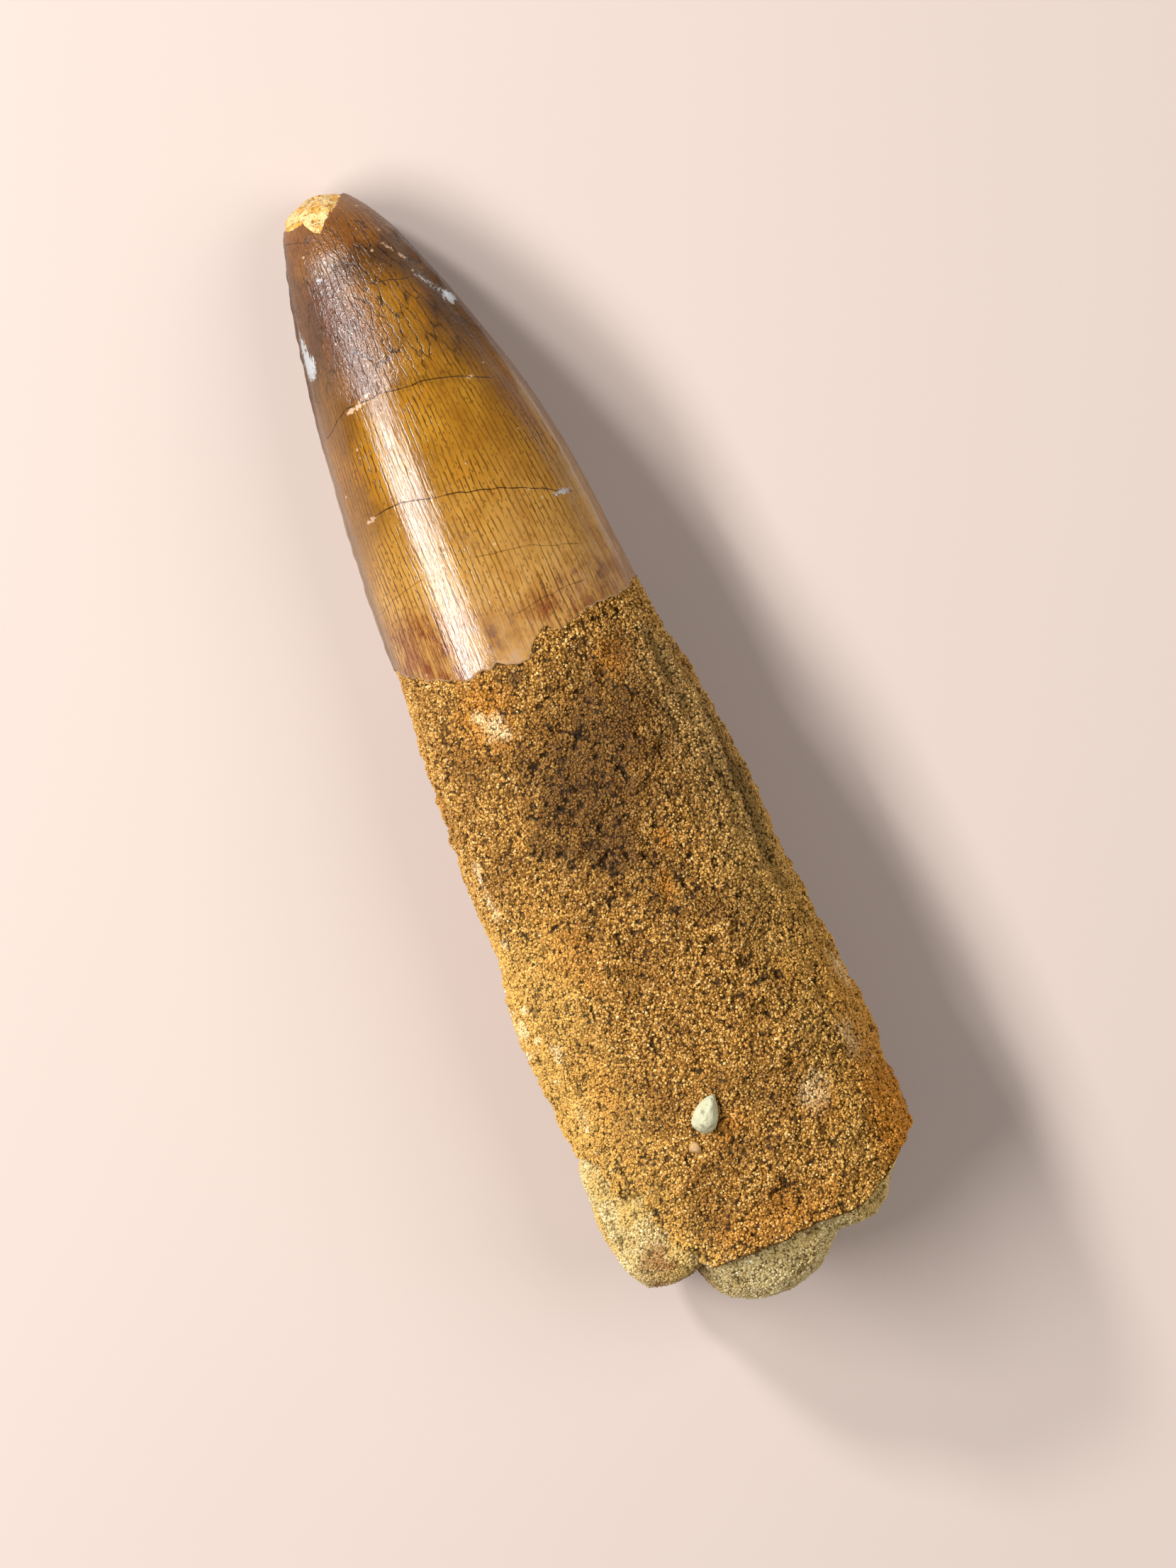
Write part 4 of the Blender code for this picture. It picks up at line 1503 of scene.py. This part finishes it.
@dataclass
class Sandstone:
    """The sandstone in the pulp cavity: a blunt plug with a lobed broken face."""

    skin: Skin
    root: Root
    wall: float = 1.6
    inner: float = 80.0
    base: float = 99.0
    face_y: tuple[float, ...] = (
        -14.5, -13.8, -12.6, -8.7, -8.2, -7.7, -6.9, -6, -4.1, -2.6, -0.4, 1.5, 3.1, 4.1, 4.7, 8.3, 9.8,
        10.9, 14.6,
    )
    face_x: tuple[float, ...] = (
        96.5, 99.2, 101.0, 100.8, 99.9, 102.0, 103.7, 104.7, 105.4, 105.7, 105.4, 104.9, 103.9, 102.9, 102.2,
        102.3, 101.4, 99.9, 97,
    )
    side_rows: int = 92
    face_rows: int = 66
    columns: int = 250
    edge_gap: float = 0.12
    blunt: float = 10.0
    least_height: float = 0.35
    profile_at: tuple[float, ...] = (0, 0.1, 0.22, 0.36, 0.97, 1)
    profile_reach: tuple[float, ...] = (1, 0.98, 0.93, 0.84, 0.03, 0.004)
    rise_at: tuple[float, ...] = (0, 0.1, 0.22, 0.36, 1)
    rise: tuple[float, ...] = (0, 0.45, 0.80, 0.97, 1)

    def build(self, finish: GranularStone) -> bpy.types.Object:
        """Makes the plug: its side along the cavity, then its broken face closed to one point.

        Args:
            finish: The sandstone.

        Returns:
            The piece.
        """
        points = self.surface()
        shape = closed(points)
        values = self.weights(shape)
        faces = tube_faces(*points.shape[:2])
        return new_piece("sandstone", shape, faces, finish.make(), CadNode.SANDSTONE, values)

    def weights(self, points: np.ndarray) -> dict[str, np.ndarray]:
        """Yellow and rust stains, the yellow partly painted light on the right: the left knob is mixed, and
        the lobes are plain.

        Args:
            points: Places on the sandstone.

        Returns:
            Stain name to a number for each place.
        """
        left = 1 - step(-9.5, -6.0, points[..., 1])
        cloud = noise(points, 2.6, 71, 3)
        speckled = step(-0.5, 0.5, cloud + 0.6 * noise(points, 0.7, 75))
        low = step(96, 99, points[..., 0] + LENGTH / 2) * step(-13.5, -11, points[..., 1])
        rust = np.clip(1.6 * left * speckled * low, 0, 1)
        # Painted light in part: the right is yellower, a tint of its own and a lift for its shade.
        right = 0.6 * step(4.0, 8.0, points[..., 1])
        yellow = np.clip(left * step(-0.6, 0.5, -cloud) + 0.35 * step(0.2, 0.8, cloud) + right, 0, 1)
        # Dark pits of painted shade.
        return {"rust": rust, "yellow": yellow, "hollow_shade": step(0.3, 0.7, noise(points, 0.5, 76))}

    def surface(self) -> np.ndarray:
        """Works out the plug's rings, from deep in the cavity to the middle of the broken face.

        The side follows the smooth skin, set in by the wall where there is one. The face shrinks that
        outline to a point along a rounded profile, while x rises to the lobes' outline seen from
        above, and less so away from the middle of their height.

        Returns:
            Points in millimetres for each row and column.
        """
        angle = all_round(self.columns)
        at_base = self.skin.points(np.full_like(angle, self.base), angle, -self.edge_gap)
        ends = np.minimum(self.base, np.interp(at_base[:, 1], self.face_y, self.face_x))
        share = np.linspace(0.02, 1, self.side_rows)[:, None]
        s = self.inner + (ends - self.inner) * share
        turn = np.broadcast_to(angle, s.shape)
        base = self.skin.points(s, turn)
        missing = self.root.missing(s, turn, base)
        taper = np.clip((s - self.inner) / self.blunt, 0, 1)
        narrowing = np.sqrt(1 - (1 - taper) ** 2)
        grit = 0.18 * noise(base, 2.0, 72, 3) + 0.35 * missing * noise(base, 3.4, 73)
        out = -self.wall + (self.wall - self.edge_gap) * missing + grit * (0.3 + 0.7 * missing)
        side = self.skin.points(s, turn, out)
        middle = side.mean(axis=1, keepdims=True)
        side = middle + (side - middle) * narrowing[..., None]
        side[..., 0] = s - LENGTH / 2

        part = np.linspace(0, 1, self.face_rows + 1)[1:, None]
        reach = np.interp(part, self.profile_at, self.profile_reach)
        rise = np.interp(part, self.rise_at, self.rise)
        ring = side[-1]
        centre = ring.mean(axis=0)
        face = centre + (ring - centre) * reach[..., None]
        face[..., 0] = 0.0
        added = 1 - self.least_height
        height = self.least_height + added * bell(face[..., 2], 13.5, 6.0) ** 0.5
        cliff = 1.6 * (1 - bell(face[..., 2], 12.5, 4.0)) * bell(face[..., 1], -6.5, 3.0)
        reach_x = np.interp(face[..., 1] - cliff, self.face_y, self.face_x)
        grit = 0.32 * noise(face, 2.4, 74, 3)
        x = self.base + (reach_x - self.base) * height + grit
        face[..., 0] = ends + (x - ends) * rise - LENGTH / 2
        points = np.concatenate([side, face])
        points[..., 2] = np.maximum(points[..., 2], 0.05)
        return points


OCTAHEDRON = np.array([(1, 0, 0), (-1, 0, 0), (0, 1, 0), (0, -1, 0), (0, 0, 1), (0, 0, -1)], float)
OCTAHEDRON_FACES = np.array(
    [(0, 2, 4), (2, 1, 4), (1, 3, 4), (3, 0, 4), (2, 0, 5), (1, 2, 5), (3, 1, 5), (0, 3, 5)]
)


@dataclass
class LooseGrains:
    """Single sand grains on a rough surface: small uneven octahedra, each with its own tint."""

    smallest: float = 0.18
    largest: float = 0.40
    size_mix: tuple[float, float] = (1.6, 2.6)
    stretched: tuple[float, float] = (0.75, 1.3)
    knocked: tuple[float, float] = (0.85, 1.25)

    def shapes(self, centres: np.ndarray, seed: int, size: float = 1.0) -> np.ndarray:
        """Works out the vertices of every grain.

        Each grain is an octahedron with its corners moved in or out at random, stretched along three
        axes, and turned by a random quaternion.

        Args:
            centres: Where the grains are.
            seed: Picks the random numbers.
            size: Makes every grain larger or smaller.

        Returns:
            Six points for each grain.
        """
        random = np.random.default_rng(seed)
        count = len(centres)
        spread = random.beta(*self.size_mix, (count, 1, 1)) * (self.largest - self.smallest)
        radius = (self.smallest + spread) * size / 2
        stretch = random.uniform(*self.stretched, (count, 1, 3))
        corners = OCTAHEDRON * random.uniform(*self.knocked, (count, 6, 1)) * stretch * radius
        w, x, y, z = np.moveaxis(self.unit(random.normal(size=(count, 4))), -1, 0)
        turn = np.stack(
            [
                np.stack([1 - 2 * (y * y + z * z), 2 * (x * y - z * w), 2 * (x * z + y * w)], -1),
                np.stack([2 * (x * y + z * w), 1 - 2 * (x * x + z * z), 2 * (y * z - x * w)], -1),
                np.stack([2 * (x * z - y * w), 2 * (y * z + x * w), 1 - 2 * (x * x + y * y)], -1),
            ],
            axis=-2,
        )
        placed = np.einsum("nij,nkj->nki", turn, corners) + centres[:, None]
        placed[..., 2] = np.maximum(placed[..., 2], 0.0)
        return placed

    @staticmethod
    def unit(vectors: np.ndarray) -> np.ndarray:
        """Scales vectors to a length of 1."""
        return vectors / np.linalg.norm(vectors, axis=-1, keepdims=True)

    def build(
        self,
        name: str,
        centres: np.ndarray,
        weights: dict[str, np.ndarray],
        material: bpy.types.Material,
        stands_for: CadNode,
        seed: int,
        size: float = 1.0,
    ) -> bpy.types.Object:
        """Joins grains into one piece.

        Args:
            name: The piece's name.
            centres: Where the grains are.
            weights: Stain name to a number for each grain.
            material: Their finish.
            stands_for: The CAD node that they lie on.
            seed: Picks the random numbers.
            size: Makes every grain larger or smaller.

        Returns:
            The piece.
        """
        count = len(centres)
        points = self.shapes(centres, seed, size)
        corners = points.shape[1]
        faces = OCTAHEDRON_FACES + corners * np.arange(count)[:, None, None]
        random = np.random.default_rng(seed + 1)
        values = {key: np.repeat(v, corners) for key, v in weights.items()}
        values["tint"] = np.repeat(random.uniform(0, 1, count), corners)
        across = math.ceil(math.sqrt(count))
        cell = np.stack([np.arange(count) % across, np.arange(count) // across], axis=-1)
        seen = (points - centres[:, None])[..., :2] / (1.2 * self.largest * size) * 0.7 + 0.5
        uv = (cell[:, None] + np.clip(seen, 0.1, 0.9)) / across
        corner_uv = uv[:, OCTAHEDRON_FACES.ravel()]
        return new_piece(
            name,
            points.reshape(-1, 3),
            [faces.reshape(-1, 3)],
            material,
            stands_for,
            values,
            ("OFBake", corner_uv.reshape(-1, 2)),
            flat=True,
        )


@dataclass
class CrustGrains:
    """The loose sand grains that cover the root and the sandstone."""

    root: Root
    sandstone: Sandstone
    on_root: int = 88000
    on_sandstone: int = 20000
    root_pieces: int = 4
    tries_for_each: float = 2.6
    widest_arc: float = 16.5
    plug_middle: float = 10.6
    area_for_each: float = 0.09
    lift: float = 0.02
    grains: LooseGrains = field(default_factory=LooseGrains)

    def on_crust(self, finish: GranularStone) -> None:
        """Scatters grains evenly over the root, fewer where it is dark or smooth.

        A try is kept by chance in proportion to the millimetres of arc for a radian at its place.

        Args:
            finish: The finish of the grains on the root.
        """
        random = np.random.default_rng(7)
        root, skin = self.root, self.root.skin
        tries = int(self.on_root * self.tries_for_each)
        angle = random.uniform(-math.pi / 2, 1.5 * math.pi, tries)
        rim, end = root.rim.read(angle), root.wall_end(angle)
        s = rim - 0.12 + (end - rim + 0.07) * random.uniform(0, 1, tries)
        base = skin.points(s, angle)
        arc = np.linalg.norm(skin.points(s, angle + 0.01) - base, axis=-1) / 0.01
        weights = root.stains(s, angle, base, base)
        thinned = np.maximum(0.25 * weights["dark"], 0.6 * weights["flank"])
        thinned = np.maximum(thinned, 0.75 * weights["hollow_shade"])
        keep = random.uniform(0, self.widest_arc, tries) < arc * (1 - thinned)
        keep &= root.missing(s, angle, base) < 0.25
        kept = np.flatnonzero(keep)[: self.on_root]
        s, angle, base, rim = s[kept], angle[kept], base[kept], rim[kept]
        centres = skin.points(s, angle, root.height(s, angle, base, rim) + self.lift)
        weights = {key: value[kept] for key, value in weights.items()}
        log.info("grains on the root: %d", len(kept))
        material = finish.make()
        for part in range(self.root_pieces):
            chosen = slice(part, None, self.root_pieces)
            some = {key: value[chosen] for key, value in weights.items()}
            name = f"root_sand_{part + 1}"
            self.grains.build(name, centres[chosen], some, material, CadNode.TOOTH, 80 + part)

    def on_plug(self, finish: GranularStone) -> None:
        """Scatters grains evenly over the sandstone's broken face and its open left side.

        Args:
            finish: The finish of the grains on the sandstone.
        """
        random = np.random.default_rng(8)
        root, plug = self.root, self.sandstone
        first = plug.side_rows // 3
        shown = plug.surface()[first:]
        tries = self.on_sandstone * 5
        row = random.uniform(0, len(shown) - 1.001, tries)
        column = random.integers(0, shown.shape[1], tries)
        low, high = shown[row.astype(int), column], shown[row.astype(int) + 1, column]
        beside = shown[row.astype(int), (column + 1) % shown.shape[1]]
        centres = low + (high - low) * (row % 1)[:, None]
        centres = centres + (beside - low) * random.uniform(0, 1, (tries, 1))
        area = np.linalg.norm(np.cross(high - low, beside - low), axis=-1)
        angle = np.arctan2(centres[:, 2] - self.plug_middle, centres[:, 1])
        s = centres[:, 0] + LENGTH / 2
        on_face = row > plug.side_rows - first - 2
        bare = (root.missing(s, angle, root.skin.points(s, angle)) > 0.3) | on_face
        weights = plug.weights(centres)
        chance = area * (1 - 0.6 * weights["hollow_shade"]) / self.area_for_each
        kept = np.flatnonzero((random.uniform(0, 1, tries) < chance) & bare)[: self.on_sandstone]
        log.info("grains on the sandstone: %d", len(kept))
        weights = {key: value[kept] for key, value in weights.items()}
        self.grains.build("sandstone_grains", centres[kept], weights, finish.make(), CadNode.SANDSTONE, 90)


@dataclass
class Pebble:
    """A worn stone stuck on the root: a drop, narrower at one end and flattened underneath."""

    name: str
    node: CadNode
    at: tuple[float, float]
    length: float
    width: float
    height: float
    turn: float
    rows: int = 60
    columns: int = 90
    taper: float = 0.34
    flat_under: float = -0.35

    def build(self, finish: WornStone, base: float) -> bpy.types.Object:
        """Makes the stone: a sphere with a straight taper and shallow facets from noise.

        Args:
            finish: The stone's finish.
            base: Height of its underside.

        Returns:
            The piece.
        """
        rise = np.linspace(-math.pi / 2, math.pi / 2, self.rows + 2)[1:-1, None]
        angle = np.linspace(0, 2 * math.pi, self.columns, endpoint=False)
        flat = [np.cos(rise) * np.cos(angle), np.cos(rise) * np.sin(angle), np.sin(rise) + 0 * angle]
        ball = np.concatenate([np.stack(flat, axis=-1).reshape(-1, 3), [(0, 0, -1), (0, 0, 1)]])
        facet = 1 + 0.10 * noise(ball, 0.55, 91) + 0.03 * noise(ball, 0.2, 92)
        along = ball[:, 0] * self.length / 2 * facet
        aside = ball[:, 1] * self.width / 2 * (1 - self.taper * ball[:, 0]) * facet
        up = (np.maximum(ball[:, 2] * 0.8 * facet, self.flat_under) + 0.2) * self.height
        turn = math.radians(self.turn)
        x = self.at[0] - LENGTH / 2 + along * math.cos(turn) - aside * math.sin(turn)
        y = self.at[1] + along * math.sin(turn) + aside * math.cos(turn)
        points = np.stack([x, y, base + up], axis=-1)
        return new_piece(self.name, points, tube_faces(self.rows, self.columns), finish.make(), self.node)


@dataclass
class Studio:
    """A pale floor, three soft lamps and the camera overhead.

    The key lamp is long and stands on the left, a small one stands past the tip, and a wide weak one
    on the right fills the shade without a glint.
    """

    distance: float = 1.0
    lens: float = 258.75
    lean: float = 22.8
    middle: tuple[float, float, float] = (4.6, -0.36, 11.0)
    floor_reach: float = 2.0
    floor_colour: str = "c5b5ac"
    air_colour: tuple[float, ...] = (1.0, 0.94, 0.88, 1.0)
    air_strength: float = 0.11

    def build(self) -> None:
        """Sets the floor, the lamps, the air's light and the camera."""
        floor_mesh = bpy.data.meshes.new("floor")
        far = self.floor_reach
        corners = [(-far, -far, 0), (far, -far, 0), (far, far, 0), (-far, far, 0)]
        floor_mesh.from_pydata(corners, [], [(0, 1, 2, 3)])
        paper = NodeTree("pale_paper_floor")
        paper.feed(paper.shader, {"Base Color": linear(self.floor_colour), "Roughness": 0.9})
        floor_mesh.materials.append(paper.material)
        stand("floor", floor_mesh)

        self.lamp("key_softbox", (-0.10, -0.33, 0.40), (0.40, 0.115), 3.1)
        self.lamp("side_softbox", (-0.40, -0.24, 0.34), (0.08, 0.08), 2.2)
        fill = self.lamp("fill_softbox", (0.10, 0.35, 0.45), (0.40, 0.40), 1.7)
        fill.visible_glossy = False
        world = bpy.data.worlds.new("soft_air")
        world.use_nodes = True
        air = world.node_tree.nodes["Background"]
        air.inputs["Color"].default_value = self.air_colour
        air.inputs["Strength"].default_value = self.air_strength
        bpy.context.scene.world = world
        bpy.context.scene.view_settings.view_transform = "Standard"

        eye = bpy.data.cameras.new("overhead_camera")
        eye.lens = self.lens
        eye.clip_start = 0.01
        camera = stand("overhead_camera", eye)
        lean = math.radians(self.lean)
        right = (math.sin(lean), math.cos(lean), 0.0)
        up = (-math.cos(lean), math.sin(lean), 0.0)
        x, y, z = (c * MM for c in self.middle)
        camera.matrix_world = aimed(right, up, (0.0, 0.0, 1.0), (x, y, z + self.distance))
        bpy.context.scene.camera = camera

    def lamp(
        self, name: str, place: tuple[float, float, float], size: tuple[float, float], watts: float
    ) -> bpy.types.Object:
        """Adds a soft rectangular lamp that faces the tooth.

        Args:
            name: The lamp's name.
            place: Where it is, in metres.
            size: Its length along the tooth and its other side, in metres.
            watts: Its power.

        Returns:
            The lamp.
        """
        data = bpy.data.lights.new(name, "AREA")
        data.shape = "RECTANGLE"
        data.size, data.size_y = size
        data.energy = watts
        made = stand(name, data)
        aim = np.array([x * MM for x in self.middle]) - np.array(place)
        back = -aim / np.linalg.norm(aim)
        side = np.array([1.0, 0.0, 0.0])
        side = side - back * side.dot(back)
        side /= np.linalg.norm(side)
        over = np.cross(back, side)
        made.matrix_world = aimed(tuple(side), tuple(over), tuple(back), place)
        return made


def main() -> None:
    """Builds the pieces in order, then the studio."""
    logging.basicConfig(level=logging.INFO, format="%(name)s: %(message)s")
    skin = Skin()
    Crown(skin, WORN_TIP_EDGE, CROWN_RIM).build(AmberEnamel())
    WornTip(skin, WORN_TIP_EDGE).build(ChalkyDentine())
    root = Root(skin, CROWN_RIM, Weathering())
    root.build(IRON_SAND_CRUST)
    plug = Sandstone(skin, root)
    plug.build(BUFF_SANDSTONE)
    grains = CrustGrains(root, plug)
    grains.on_crust(IRON_SAND_GRAINS)
    grains.on_plug(BUFF_SAND_GRAINS)
    drop = Pebble("claystone_pebble", CadNode.PEBBLE, (88.2, -1.95), 3.4, 2.15, 1.35, 140.0)
    drop.build(WornStone("pale_claystone", "c0bd9c", "86805f"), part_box(CadNode.PEBBLE.value)[0][2] / MM)
    crumb = Pebble("limestone_crumb", CadNode.TOOTH, (90.7, -4.05), 1.15, 0.95, 0.8, 30.0, 24, 36)
    crumb.build(WornStone("buff_limestone", "c09a68", "8f6a3c"), skin.top(90.7, -4.05))
    Studio().build()


if __name__ == "__main__":
    main()
